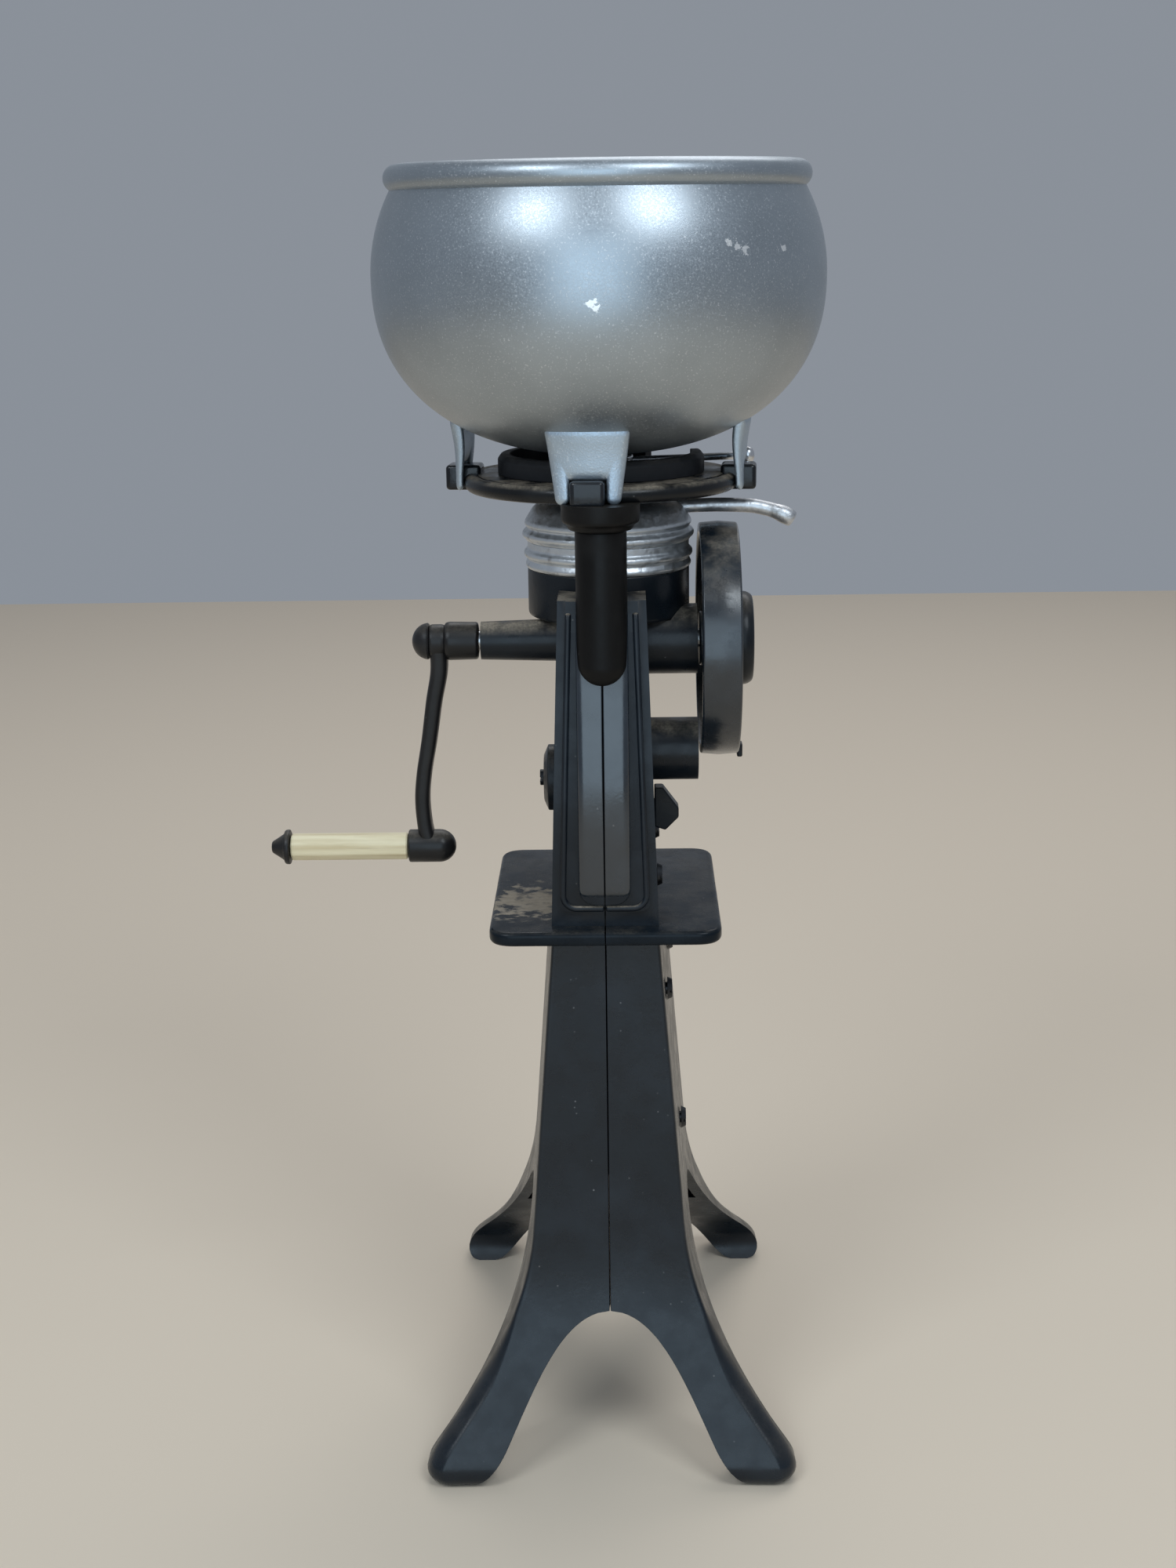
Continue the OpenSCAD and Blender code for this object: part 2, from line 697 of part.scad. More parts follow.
module cream_cover() {
    r1 = casing_r + 0.25;
    w = cover_wall;
    z0 = skim_top + eps;
    color(silver) difference() {
        turned([[r1 - w, z0], [r1, z0], [r1 + rib_t, z0 + 0.7], [r1 + rib_t, z0 + 1.4],
            [r1, z0 + 1.9], [r1 - 0.2, z0 + 2.3], [r1 + 0.15, z0 + 2.6], [r1 + 0.1, z0 + 3.2],
            [shoulder_r, z0 + shoulder_h], [cream_hole_r + 1, cream_top], [cream_hole_r, cream_top],
            [cream_hole_r, cream_top - w], [shoulder_r - w / 2, z0 + shoulder_h - w],
            [r1 - w, z0 + 3]]);
        at_cream_spout() x_cylinder(0, reach, spout_r, spout_r);
    }
}
module cream_spout() {
    color(silver) at_cream_spout() spout_tube(shoulder_r - spout_root_in);
}

// ---------- Can bracket and supply can ----------
module bracket_post() {
    color(black) translate([0, -post_y, 0]) difference() {
        union() {
            translate([0, 0, post_foot + post_r]) sphere(post_r);
            translate([0, 0, post_foot + post_r]) cylinder(r = post_r, h = post_l - post_r);
        }
        translate([0, 0, collar_z - swivel_pin_l - seat_gap])
            cylinder(r = swivel_pin_r + run_fit, h = reach);
    }
}
outlet_hole_r = 6.2;
lug_slot_gap = 0.2;
lug_inner_r = plate_r + 0.15;
lug_outer_r = lug_inner_r + lug_t;
tab_outer_r = lug_outer_r + 1;
tab_top = plate_z + tab_h;
lug_rise = 0.15;
module can_bracket() {
    edge = plate_t / 2;
    color(black) {
        difference() {
            union() {
                rotate_extrude() union() {
                    square([plate_r - edge, plate_t]);
                    translate([plate_r - edge, edge]) circle(edge, $fn = 32);
                }
                for (k = [0 : 3]) rotate([0, 0, lug_turn - 90 + 90 * k])
                    translate([lug_inner_r - 2, -tab_w / 2, 0])
                    cube([tab_outer_r - lug_inner_r + 2, tab_w, tab_h]);
            }
            translate([0, 0, -1]) cylinder(r = outlet_hole_r, h = reach);
        }
        translate([0, -post_y, -collar_h]) {
            cylinder(r1 = collar_r - 1, r2 = collar_r, h = 1);
            translate([0, 0, 1]) cylinder(r = collar_r, h = collar_h - 1 + eps);
            translate([0, 0, -swivel_pin_l]) cylinder(r = swivel_pin_r, h = swivel_pin_l + half);
        }
    }
}
lever_turn = 15;
lever_sweep = 40;
ring_bevel = 0.6;
module seat_ring() {
    inner = ring_r - ring_wall;
    color([0.1, 0.11, 0.13]) difference() {
        rotate_extrude() polygon([[inner, plate_top], [ring_r, plate_top],
            [ring_r, ring_top - ring_bevel], [ring_r - ring_bevel, ring_top], [inner, ring_top]]);
        lever_window();
    }
}
// Gap in the ring through which the outlet lever sweeps
module lever_window() {
    margin = 5;
    translate([0, 0, plate_top - 1]) linear_extrude(reach)
        polygon([[0, 0], for (a = [lever_turn - margin : 5 : lever_turn + lever_sweep + margin])
            reach * [cos(a), sin(a)]]);
}
lower_power = 2.3;
lower_drop = can_lower_h + 0.15;
upper_semi = 31.3;
function can_lower_r(h) = can_r * pow(max(1 - pow(h / lower_drop, lower_power), 0), 1 / lower_power);
function can_upper_r(h) = can_r * sqrt(1 - pow(h / upper_semi, 2));
// Outer or inner wall of the can, from the bottom up
function can_profile(wall) =
    let (n = 14, base = can_lower_h - wall)
    concat([for (i = [0 : n]) let (h = base * cos(90 * i / n))
        [can_lower_r(h / base * can_lower_h) - wall, can_wide_z - h]],
        [for (i = [1 : 8]) let (h = can_upper_h * i / 8) [can_upper_r(h) - wall, can_wide_z + h]]);
rim_r = can_upper_r(can_upper_h) + 0.9 - rim_roll_r / 2;
nipple_r = 3.2;
nipple_bore_r = 1.6;
nipple_l = 6.4;
lug_top = can_z + 5.4;
lug_foot = plate_z + lug_rise;
module lug() {
    half_top = lug_root_w / 2;
    half_tip = lug_tip_w / 2;
    slot = tab_w / 2 + lug_slot_gap;
    prong = (half_tip - slot) / 2;
    intersection() {
        rotate([90, 0, 90]) linear_extrude(lug_outer_r + 4) difference() {
            union() {
                polygon([[-half_top, lug_top], [-half_tip, lug_foot + prong],
                    [half_tip, lug_foot + prong], [half_top, lug_top]]);
                for (s = [-1, 1]) translate([s * (slot + prong), lug_foot + prong]) circle(prong);
            }
            translate([-slot, lug_foot - 1]) square([2 * slot, tab_top - lug_foot + 1]);
        }
        rotate_extrude() polygon([[lug_inner_r - 1.6, lug_top + 1], [lug_inner_r - 1.2, plate_top + 3],
            [lug_inner_r, plate_top], [lug_inner_r, lug_foot - 1], [lug_outer_r, lug_foot - 1],
            [lug_outer_r + 0.2, lug_top - 2], [lug_outer_r + 0.9, lug_top + 1]]);
    }
}
module supply_can() {
    color(silver) difference() {
        union() {
            difference() {
                union() {
                    rotate_extrude($fn = 96) polygon(concat([[0, can_z]], can_profile(0), [[0, rim_z]]));
                    for (k = [0 : 3]) rotate([0, 0, lug_turn - 90 + 90 * k]) lug();
                }
                rotate_extrude($fn = 96)
                    polygon(concat([[0, can_z + can_wall]], can_profile(can_wall), [[0, rim_z]]));
            }
            translate([0, 0, rim_z]) rotate_extrude($fn = 96)
                translate([rim_r, 0]) circle(rim_roll_r, $fn = 32);
            translate([0, 0, can_z - nipple_l]) cylinder(r = nipple_r, h = nipple_l + can_wall);
        }
        translate([0, 0, can_z - nipple_l - 1]) cylinder(r = nipple_bore_r, h = 2 * nipple_l + 1);
    }
}
nut_r = 5;
nut_t = 2.3;
nut_z = can_z - nipple_l + 0.6;
module outlet_nut() {
    color(silver) translate([0, 0, nut_z]) difference() {
        cylinder(r = nut_r, h = nut_t, $fn = 6);
        translate([0, 0, -1]) cylinder(r = nipple_r, h = reach);
    }
}
lever_z = plate_top + 1.6;
lever_collar_r = 5.2;
lever_collar_t = 2.2;
lever_rod_r = 0.6;
knob_r = 1.4;
lever_reach = 24.9;
module outlet_lever() {
    color(silver) difference() {
        union() {
            translate([0, 0, lever_z - lever_collar_t / 2])
                cylinder(r = lever_collar_r, h = lever_collar_t);
            rotate([0, 0, lever_turn]) translate([0, 0, lever_z]) {
                rotate([0, 90, 0]) cylinder(r = lever_rod_r, h = lever_reach, $fn = 24);
                translate([lever_reach, 0, 0]) sphere(knob_r, $fn = 32);
            }
        }
        translate([0, 0, plate_z]) cylinder(r = nipple_r + run_fit, h = reach);
    }
}

// ---------- Crank, grip and pulley ----------
hub_x = -tube_reach - seat_gap;
hub_l = 5.6;
hub_r = 3.2;
arm_x = hub_x - hub_l;
arm_boss_l = 2.6;
nut_x = arm_x - arm_boss_l;
dome_l = 2.8;
dome_r = 3;
shaft_left = nut_x - 1.6;
pulley_x = boss_reach + 0.35;
pulley_face = pulley_x + pulley_w;
cap_l = 2.5;
cap_big_r = 7.6;
module crank_shaft() {
    color(steel) at_crank() x_cylinder(shaft_left, pulley_face + 1, shaft_r, shaft_r);
}
boss_left_x = -32.9;
boss_right_x = -25;
// Centre line of the arm as [x, drop below the crank shaft]
arm_line = [[-26.9, 0], [-26.8, 4.5], [-27.9, 10], [-28.9, 16.5], [-30, 22], [-30.4, 26.5],
    [-30.2, 31], [-29.4, crank_throw]];
function arm_w(k) = arm_top_w + (arm_foot_w - arm_top_w) * k / (len(arm_line) - 1);
module crank_arm() {
    n = len(arm_line) - 1;
    foot_half = grip_boss_r * 0.8;
    color(black) at_crank() difference() {
        union() {
            x_cylinder(arm_x, hub_x, hub_r, hub_r - 0.2);
            x_cylinder(nut_x, arm_x, dome_r - 0.3, dome_r - 0.3);
            intersection() {
                translate([0, arm_t / 2, 0]) rotate([90, 0, 0]) linear_extrude(arm_t) polygon(concat(
                    [for (k = [0 : n]) [arm_line[k][0] - arm_w(k) / 2, -arm_line[k][1]]],
                    [for (k = [n : -1 : 0]) [arm_line[k][0] + arm_w(k) / 2, -arm_line[k][1]]]));
                rotate([90, 0, 90]) translate([0, 0, -reach / 2]) linear_extrude(reach)
                    polygon([[-arm_t / 2, 0], [arm_t / 2, 0], [foot_half, -crank_throw],
                        [-foot_half, -crank_throw]]);
            }
            translate([0, 0, -crank_throw]) {
                x_cylinder(boss_left_x, boss_right_x - grip_boss_r, grip_boss_r, grip_boss_r);
                translate([boss_right_x - grip_boss_r, 0, 0]) sphere(grip_boss_r, $fn = 40);
            }
        }
        x_cylinder(nut_x - 1, reach, shaft_r, shaft_r);
        translate([0, 0, -crank_throw]) x_cylinder(-reach, boss_left_x + 4, grip_pin_r, grip_pin_r);
    }
}
module crank_nut() {
    color(black) at_crank() difference() {
        intersection() {
            x_cylinder(nut_x - dome_l, nut_x, dome_r, dome_r);
            translate([nut_x - dome_l + dome_r, 0, 0]) sphere(dome_r, $fn = 48);
        }
        x_cylinder(shaft_left, nut_x + 1, shaft_r, shaft_r);
    }
}
grip_right = boss_left_x - seat_gap;
grip_left = grip_right - grip_l;
cap_flange_l = 0.9;
cap_flange_r = 2.95;
cap_nose_l = 2.3;
pin_left = grip_left - seat_gap - 1.8;
module at_grip() {
    translate([0, -crank_y, crank_z - crank_throw]) children();
}
module grip_pin() {
    color(steel) at_grip() x_cylinder(pin_left, boss_left_x + 4, grip_pin_r, grip_pin_r);
}
module handle_grip() {
    sides = 8;
    color(wood) at_grip() difference() {
        translate([grip_left, 0, 0]) rotate([0, 90, 0]) rotate([0, 0, 180 / sides])
            cylinder(r = grip_flats / 2 / cos(180 / sides), h = grip_l, $fn = sides);
        x_cylinder(-reach, reach, grip_pin_r + run_fit, grip_pin_r + run_fit);
    }
}
module grip_cap() {
    x1 = grip_left - seat_gap;
    color(black) at_grip() difference() {
        union() {
            x_cylinder(x1 - cap_flange_l, x1, cap_flange_r - 0.2, cap_flange_r);
            x_cylinder(x1 - cap_flange_l - cap_nose_l, x1 - cap_flange_l + eps, 1.2, 2.4);
        }
        x_cylinder(pin_left, reach, grip_pin_r, grip_pin_r);
    }
}
web_t = 2;
pulley_hub_r = 4.4;
web_hole_r = 3.1;
web_holes = 5;
module belt_pulley() {
    crown = 0.25;
    inner = pulley_r - pulley_rim;
    color(black) at_crank() difference() {
        translate([pulley_x, 0, 0]) rotate([0, 90, 0]) difference() {
            rotate_extrude($fn = 96) polygon([[shaft_r, 0], [pulley_hub_r, 0],
                [pulley_hub_r, (pulley_w - web_t) / 2], [inner, (pulley_w - web_t) / 2],
                [inner, 0], [pulley_r - crown, 0], [pulley_r, pulley_w / 2],
                [pulley_r - crown, pulley_w], [inner, pulley_w], [inner, (pulley_w + web_t) / 2],
                [pulley_hub_r, (pulley_w + web_t) / 2], [pulley_hub_r, pulley_w], [shaft_r, pulley_w]]);
            for (k = [0 : web_holes - 1]) rotate([0, 0, 360 * k / web_holes])
                translate([(inner + pulley_hub_r) / 2, 0, -1]) cylinder(r = web_hole_r, h = pulley_w + 2);
        }
    }
}
module pulley_cap() {
    color(black) at_crank() difference() {
        union() {
            x_cylinder(pulley_face, pulley_face + cap_l - 0.9, cap_big_r, cap_big_r);
            x_cylinder(pulley_face + cap_l - 0.9 - eps, pulley_face + cap_l, cap_big_r, cap_big_r - 0.9);
        }
        x_cylinder(0, pulley_face + 1, shaft_r, shaft_r);
    }
}
// Small belt guide block on the pulley's outer face, at its foot at rest
key_w = 2.2;
key_t = 0.9;
key_drop = 0.8;
module pulley_key() {
    color(black) at_crank() translate([pulley_face, -key_w / 2, -pulley_r - key_drop])
        cube([key_t, key_w, pulley_rim + key_drop - 0.3]);
}

// ---------- Gear train ----------
module crank_bushes() {
    color(bronze) at_crank() for (x = [-tube_reach + 0.2, boss_reach - 0.2 - bush_l]) difference() {
        x_cylinder(x, x + bush_l, bush_r, bush_r);
        x_cylinder(-reach, reach, shaft_r + run_fit, shaft_r + run_fit);
    }
}
lay_r = 1.3;
lay_left = layshaft_left_x + 0.1 - 1;
lay_bush_x = [-housing_w(lay_z) + 0.7, boss_reach - 1.4 - bush_l];
lay_bush_l = [layshaft_left_x + 1.2 + housing_w(lay_z) - 0.7, bush_l];
module layshaft_bushes() {
    color(bronze) at_layshaft() for (k = [0, 1]) difference() {
        x_cylinder(lay_bush_x[k], lay_bush_x[k] + lay_bush_l[k], bush_r, bush_r);
        x_cylinder(-reach, reach, lay_r + run_fit, lay_r + run_fit);
    }
}
module layshaft() {
    color(steel) at_layshaft() x_cylinder(lay_bush_x[0] + 0.2, boss_reach - 1.6, lay_r, lay_r);
}
// One gear blank with straight-flanked teeth; each tooth narrows towards its tip
module gear_outline(teeth, pitch_r, add, ded, tooth_share, tip_share) {
    step = 360 / teeth;
    root = pitch_r - ded;
    polygon([for (k = [0 : teeth - 1]) each [
        let (a = step * (k - tooth_share * 0.62)) root * [cos(a), sin(a)],
        let (a = step * (k - tooth_share / 2)) pitch_r * [cos(a), sin(a)],
        let (a = step * (k - tip_share / 2)) (pitch_r + add) * [cos(a), sin(a)],
        let (a = step * (k + tip_share / 2)) (pitch_r + add) * [cos(a), sin(a)],
        let (a = step * (k + tooth_share / 2)) pitch_r * [cos(a), sin(a)],
        let (a = step * (k + tooth_share * 0.62)) root * [cos(a), sin(a)]]]);
}
tooth_share = 0.4;
tip_share = 0.2;
pinion_pitch_r = spur_module * pinion_teeth / 2;
gear_pitch_r = spur_module * large_gear_teeth / 2;
// Direction from the crank shaft to the layshaft, measured in the plane across X
mesh_angle = atan2(lay_z - crank_z, -(lay_y - crank_y));
module on_x(x, w) {
    translate([x, 0, 0]) rotate([90, 0, 90]) linear_extrude(w) children();
}
module crank_pinion() {
    color(steel) at_crank() difference() {
        on_x(large_gear_x, spur_w) rotate(mesh_angle)
            gear_outline(pinion_teeth, pinion_pitch_r, spur_module * 0.75, spur_module * 0.95,
                tooth_share, tip_share);
        x_cylinder(-reach, reach, shaft_r, shaft_r);
    }
}
gear_hub_r = 2.6;
gear_hub_l = 1.4;
module large_gear() {
    color(bronze) at_layshaft() difference() {
        union() {
            on_x(large_gear_x, spur_w) rotate(mesh_angle + 180 + 180 / large_gear_teeth)
                gear_outline(large_gear_teeth, gear_pitch_r, spur_module * 0.75, spur_module * 0.95,
                tooth_share, tip_share);
            x_cylinder(large_gear_x + spur_w - eps, large_gear_x + spur_w + gear_hub_l,
                gear_hub_r, gear_hub_r);
        }
        x_cylinder(-reach, reach, lay_r, lay_r);
    }
}
wheel_w = 1.6;
wheel_bottom_gap = 0.3;
module worm_wheel() {
    color(bronze) at_layshaft() difference() {
        union() {
            on_x(spindle_x - wheel_w / 2, wheel_w)
                gear_outline(wheel_teeth, wheel_pitch_r, worm_thread * 0.75, worm_thread + wheel_bottom_gap,
                    0.3, 0.12);
            x_cylinder(spindle_x + wheel_w / 2 - eps, spindle_x + wheel_w / 2 + 2, gear_hub_r, gear_hub_r);
        }
        x_cylinder(-reach, reach, lay_r, lay_r);
    }
}
footstep_z = shelf_z + floor_t;
footstep_h = 12.6;
footstep_r = 2.6;
spindle_foot = footstep_z + 1.5;
worm_turns = 4;
module worm_spindle() {
    worm_l = worm_turns * worm_lead;
    worm_z = lay_z - worm_l / 2;
    color(steel) at_spindle() {
        translate([0, 0, spindle_foot]) cylinder(r = spindle_r, h = worm_z - spindle_foot + half);
        translate([0, 0, worm_z]) rotate([0, 0, 90]) linear_extrude(worm_l,
            twist = -360 * worm_turns, slices = 10 * worm_turns, $fn = 16)
            translate([worm_thread, 0]) circle(worm_pitch_r, $fn = 16);
        translate([0, 0, worm_z + worm_l - half])
            cylinder(r = spindle_r, h = spindle_top - worm_z - worm_l + half);
    }
}
module footstep_bearing() {
    color(bronze) at_spindle() translate([0, 0, footstep_z]) difference() {
        cylinder(r = footstep_r, h = footstep_h);
        translate([0, 0, spindle_foot - footstep_z - run_fit])
            cylinder(r = spindle_r + run_fit, h = reach);
    }
}
module neck_bearing() {
    color(bronze) at_spindle() translate([0, 0, casing_z]) difference() {
        cylinder(r = neck_r, h = neck_h);
        translate([0, 0, -1]) cylinder(r = spindle_r + run_fit, h = reach);
    }
}

// ---------- Separator bowl ----------
bowl_z = casing_z + neck_h + seat_gap;
bowl_top = bowl_z + bowl_h;
hood_top = bowl_top + hood_h;
hood_neck_r = 2.4;
bowl_nut_h = 1.3;
disc_foot = 1.6;
disc_pitch = 1.3;
disc_count = 4;
disc_t = 0.35;
disc_rise = 3.2;
disc_edge = 2.2;
sleeve_t = 1.2;
spindle_top = hood_top + bowl_nut_h;
sleeve_top = bowl_z + disc_foot + disc_pitch * (disc_count - 1) + disc_t + disc_rise;
module separator_bowl() {
    w = bowl_wall;
    color(silver) turned([[spindle_r, bowl_z], [bowl_r - 1, bowl_z], [bowl_r, bowl_z + 1],
        [bowl_r, bowl_top], [bowl_r - w, bowl_top], [bowl_r - w, bowl_z + 1.4],
        [bowl_r - 1.4, bowl_z + w], [spindle_r + sleeve_t, bowl_z + w],
        [spindle_r + sleeve_t, sleeve_top], [spindle_r, sleeve_top]]);
}
module bowl_hood() {
    w = bowl_wall;
    color(silver) turned([[bowl_r - w, bowl_top], [bowl_r, bowl_top], [bowl_r, bowl_top + 0.6],
        [hood_neck_r, hood_top], [spindle_r, hood_top], [spindle_r, hood_top - w],
        [hood_neck_r - 0.4, hood_top - w], [bowl_r - w, bowl_top + 0.2]]);
}
module disc_stack() {
    color(steel) for (k = [0 : disc_count - 1]) {
        z = bowl_z + disc_foot + disc_pitch * k;
        turned([[bowl_r - disc_edge, z], [bowl_r - disc_edge, z + disc_t],
            [spindle_r + sleeve_t, z + disc_t + disc_rise], [spindle_r + sleeve_t, z + disc_rise]]);
    }
}
module bowl_nut() {
    color(bronze) at_spindle() translate([0, 0, hood_top]) difference() {
        cylinder(r = hood_neck_r, h = bowl_nut_h, $fn = 6);
        translate([0, 0, -1]) cylinder(r = spindle_r, h = reach);
    }
}

pedestal_left();
pedestal_right();
housing_left();
housing_right();
housing_screws();
pedestal_screws();
inspection_cap();
drain_spout();
bowl_casing();
skim_cover();
skim_spout();
cream_cover();
cream_spout();
bracket_post();
translate([0, 0, plate_z]) can_bracket();
seat_ring();
supply_can();
outlet_nut();
outlet_lever();
crank_shaft();
crank_arm();
crank_nut();
grip_pin();
handle_grip();
grip_cap();
belt_pulley();
pulley_cap();
pulley_key();
crank_bushes();
layshaft_bushes();
crank_pinion();
layshaft();
large_gear();
worm_wheel();
worm_spindle();
footstep_bearing();
neck_bearing();
separator_bowl();
bowl_hood();
disc_stack();
bowl_nut();
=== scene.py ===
"""Hand-crank cream separator at desk size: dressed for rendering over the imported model."""

import json
import math

import bmesh
import bpy
import numpy as np
from mathutils import Matrix, Vector


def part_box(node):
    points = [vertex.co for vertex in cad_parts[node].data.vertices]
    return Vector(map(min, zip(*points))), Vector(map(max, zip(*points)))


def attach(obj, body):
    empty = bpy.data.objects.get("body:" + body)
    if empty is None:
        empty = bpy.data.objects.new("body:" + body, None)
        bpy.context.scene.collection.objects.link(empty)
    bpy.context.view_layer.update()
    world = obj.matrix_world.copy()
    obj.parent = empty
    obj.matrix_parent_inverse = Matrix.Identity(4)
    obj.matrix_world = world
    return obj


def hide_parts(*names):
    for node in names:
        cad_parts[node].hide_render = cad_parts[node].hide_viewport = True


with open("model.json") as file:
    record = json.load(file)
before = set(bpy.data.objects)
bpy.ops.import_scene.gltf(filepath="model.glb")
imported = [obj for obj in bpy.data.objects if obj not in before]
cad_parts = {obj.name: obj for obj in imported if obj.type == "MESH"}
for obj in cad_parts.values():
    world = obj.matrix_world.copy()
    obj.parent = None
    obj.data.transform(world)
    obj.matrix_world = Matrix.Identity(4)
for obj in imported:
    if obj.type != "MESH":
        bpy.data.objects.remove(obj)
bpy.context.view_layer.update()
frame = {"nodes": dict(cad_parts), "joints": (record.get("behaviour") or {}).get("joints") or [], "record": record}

MM = 0.001
TAU = 2 * math.pi
Y_AXIS = np.array([0.0, 1.0, 0.0])

# ---- shared shader groups


def new_group(name, **inputs):
    """A node group with a float input for each name and default, and one output, Mask.
    Returned with the sockets that its inputs arrive at, and the one that its mask goes to."""
    group = bpy.data.node_groups.new(name, "ShaderNodeTree")
    for label, default in inputs.items():
        socket = group.interface.new_socket(label.replace("_", " "), in_out="INPUT",
                                            socket_type="NodeSocketFloat")
        socket.default_value = default
    group.interface.new_socket("Mask", in_out="OUTPUT", socket_type="NodeSocketFloat")
    given = group.nodes.new("NodeGroupInput").outputs
    return group, given, group.nodes.new("NodeGroupOutput").inputs["Mask"]


class Wires:
    """Adds nodes to one tree: most methods return the socket that carries their result."""

    def __init__(self, tree):
        self.tree = tree

    def feed(self, socket, value):
        """Links a socket, or writes a number, a vector or an (r, g, b) colour on it."""
        if isinstance(value, bpy.types.NodeSocket):
            self.tree.links.new(value, socket)
        else:
            socket.default_value = (*value, 1.0) if socket.type == "RGBA" else value

    def dress(self, node, **values):
        """Links or writes each named input of a node."""
        for label, value in values.items():
            self.feed(node.inputs[label.replace("_", " ")], value)

    def node(self, kind, result, **values):
        """Adds a node of a kind with the given inputs. Its result is the output of that name."""
        node = self.tree.nodes.new("ShaderNode" + kind)
        self.dress(node, **values)
        return node.outputs[result]

    def coords(self):
        """Object coordinates."""
        return self.node("TexCoord", "Object")

    def axis(self, vector, name):
        """One part of a vector."""
        return self.node("SeparateXYZ", name, Vector=vector)

    def up(self):
        """How far the surface faces upwards, from -1 to 1."""
        return self.axis(self.node("NewGeometry", "Normal"), "Z")

    def noise(self, scale, detail=3.0, roughness=0.55, stretch=None):
        """Fractal noise of about 0 to 1, drawn out along an axis whose stretch is small."""
        coords = self.coords()
        if stretch:
            coords = self.node("Mapping", "Vector", Vector=coords, Scale=stretch)
        return self.node("TexNoise", "Fac", Vector=coords, Scale=scale, Detail=detail,
                         Roughness=roughness)

    def distance(self, place):
        """How far each point is from a place."""
        return self.maths("DISTANCE", self.coords(), place, kind="VectorMath")

    def cells(self, scale):
        """How far each point is from the middle of its cell."""
        return self.node("TexVoronoi", "Distance", Vector=self.coords(), Scale=scale)

    def ramp(self, value, low, high, to_low=0.0, to_high=1.0):
        """Maps low..high to to_low..to_high, clamped, with soft ends."""
        node = self.tree.nodes.new("ShaderNodeMapRange")
        node.interpolation_type = "SMOOTHSTEP"
        self.dress(node, Value=value, From_Min=low, From_Max=high, To_Min=to_low, To_Max=to_high)
        return node.outputs["Result"]

    def maths(self, operation, *values, kind="Math"):
        """One step of arithmetic on numbers, or with VectorMath as its kind on vectors."""
        node = self.tree.nodes.new("ShaderNode" + kind)
        node.operation = operation
        for socket, value in zip(node.inputs, values):
            self.feed(socket, value)
        return node.outputs["Value"]

    def times(self, first, *others):
        """The product of two or more numbers."""
        for other in others:
            first = self.maths("MULTIPLY", first, other)
        return first

    def plus(self, a, b):
        """The sum of two numbers."""
        return self.maths("ADD", a, b)

    def mix(self, factor, a, b):
        """Colour a, turning to colour b as the factor goes from 0 to 1."""
        node = self.tree.nodes.new("ShaderNodeMix")
        node.data_type = "RGBA"
        self.dress(node, Factor=factor, A=a, B=b)
        return node.outputs["Result"]

    def bump(self, height, strength, distance):
        """A normal tilted by the slope of the height."""
        return self.node("Bump", "Normal", Height=height, Strength=strength, Distance=distance)

    def mask(self, group, **values):
        """Places a shared group with its own values, and returns its mask."""
        node = self.tree.nodes.new("ShaderNodeGroup")
        node.node_tree = group
        self.dress(node, **values)
        return node.outputs["Mask"]


def make_dust_group():
    """Dust lies where the surface faces up, broken up by two sizes of noise."""
    group, given, mask = new_group("settled_dust", Amount=0.5, Patch_Scale=250.0,
                                   Fine_Scale=2500.0)
    w = Wires(group)
    facing = w.ramp(w.up(), 0.35, 0.95)
    patches = w.ramp(w.noise(given["Patch Scale"], 4.0, 0.6), 0.34, 0.62)
    fine = w.ramp(w.noise(given["Fine Scale"], 2.0), 0.3, 0.7, 0.55, 1.0)
    w.feed(mask, w.times(facing, patches, fine, given["Amount"]))
    return group


def make_speck_group():
    """Sparse small specks: the near centres of widely spaced cells."""
    group, given, mask = new_group("fine_specks", Scale=400.0, Size=0.12)
    w = Wires(group)
    w.feed(mask, w.ramp(w.cells(given["Scale"]), given["Size"], 0.0))
    return group


DUST = make_dust_group()
SPECKS = make_speck_group()

# ---- materials


def new_material(name, color):
    """A material with a Principled shader, and the tools to wire it."""
    material = bpy.data.materials.new(name)
    material.use_nodes = True
    material.diffuse_color = (*color, 1.0)
    shader = material.node_tree.nodes["Principled BSDF"]
    w = Wires(material.node_tree)
    w.dress(shader, Base_Color=color)
    return material, shader, w


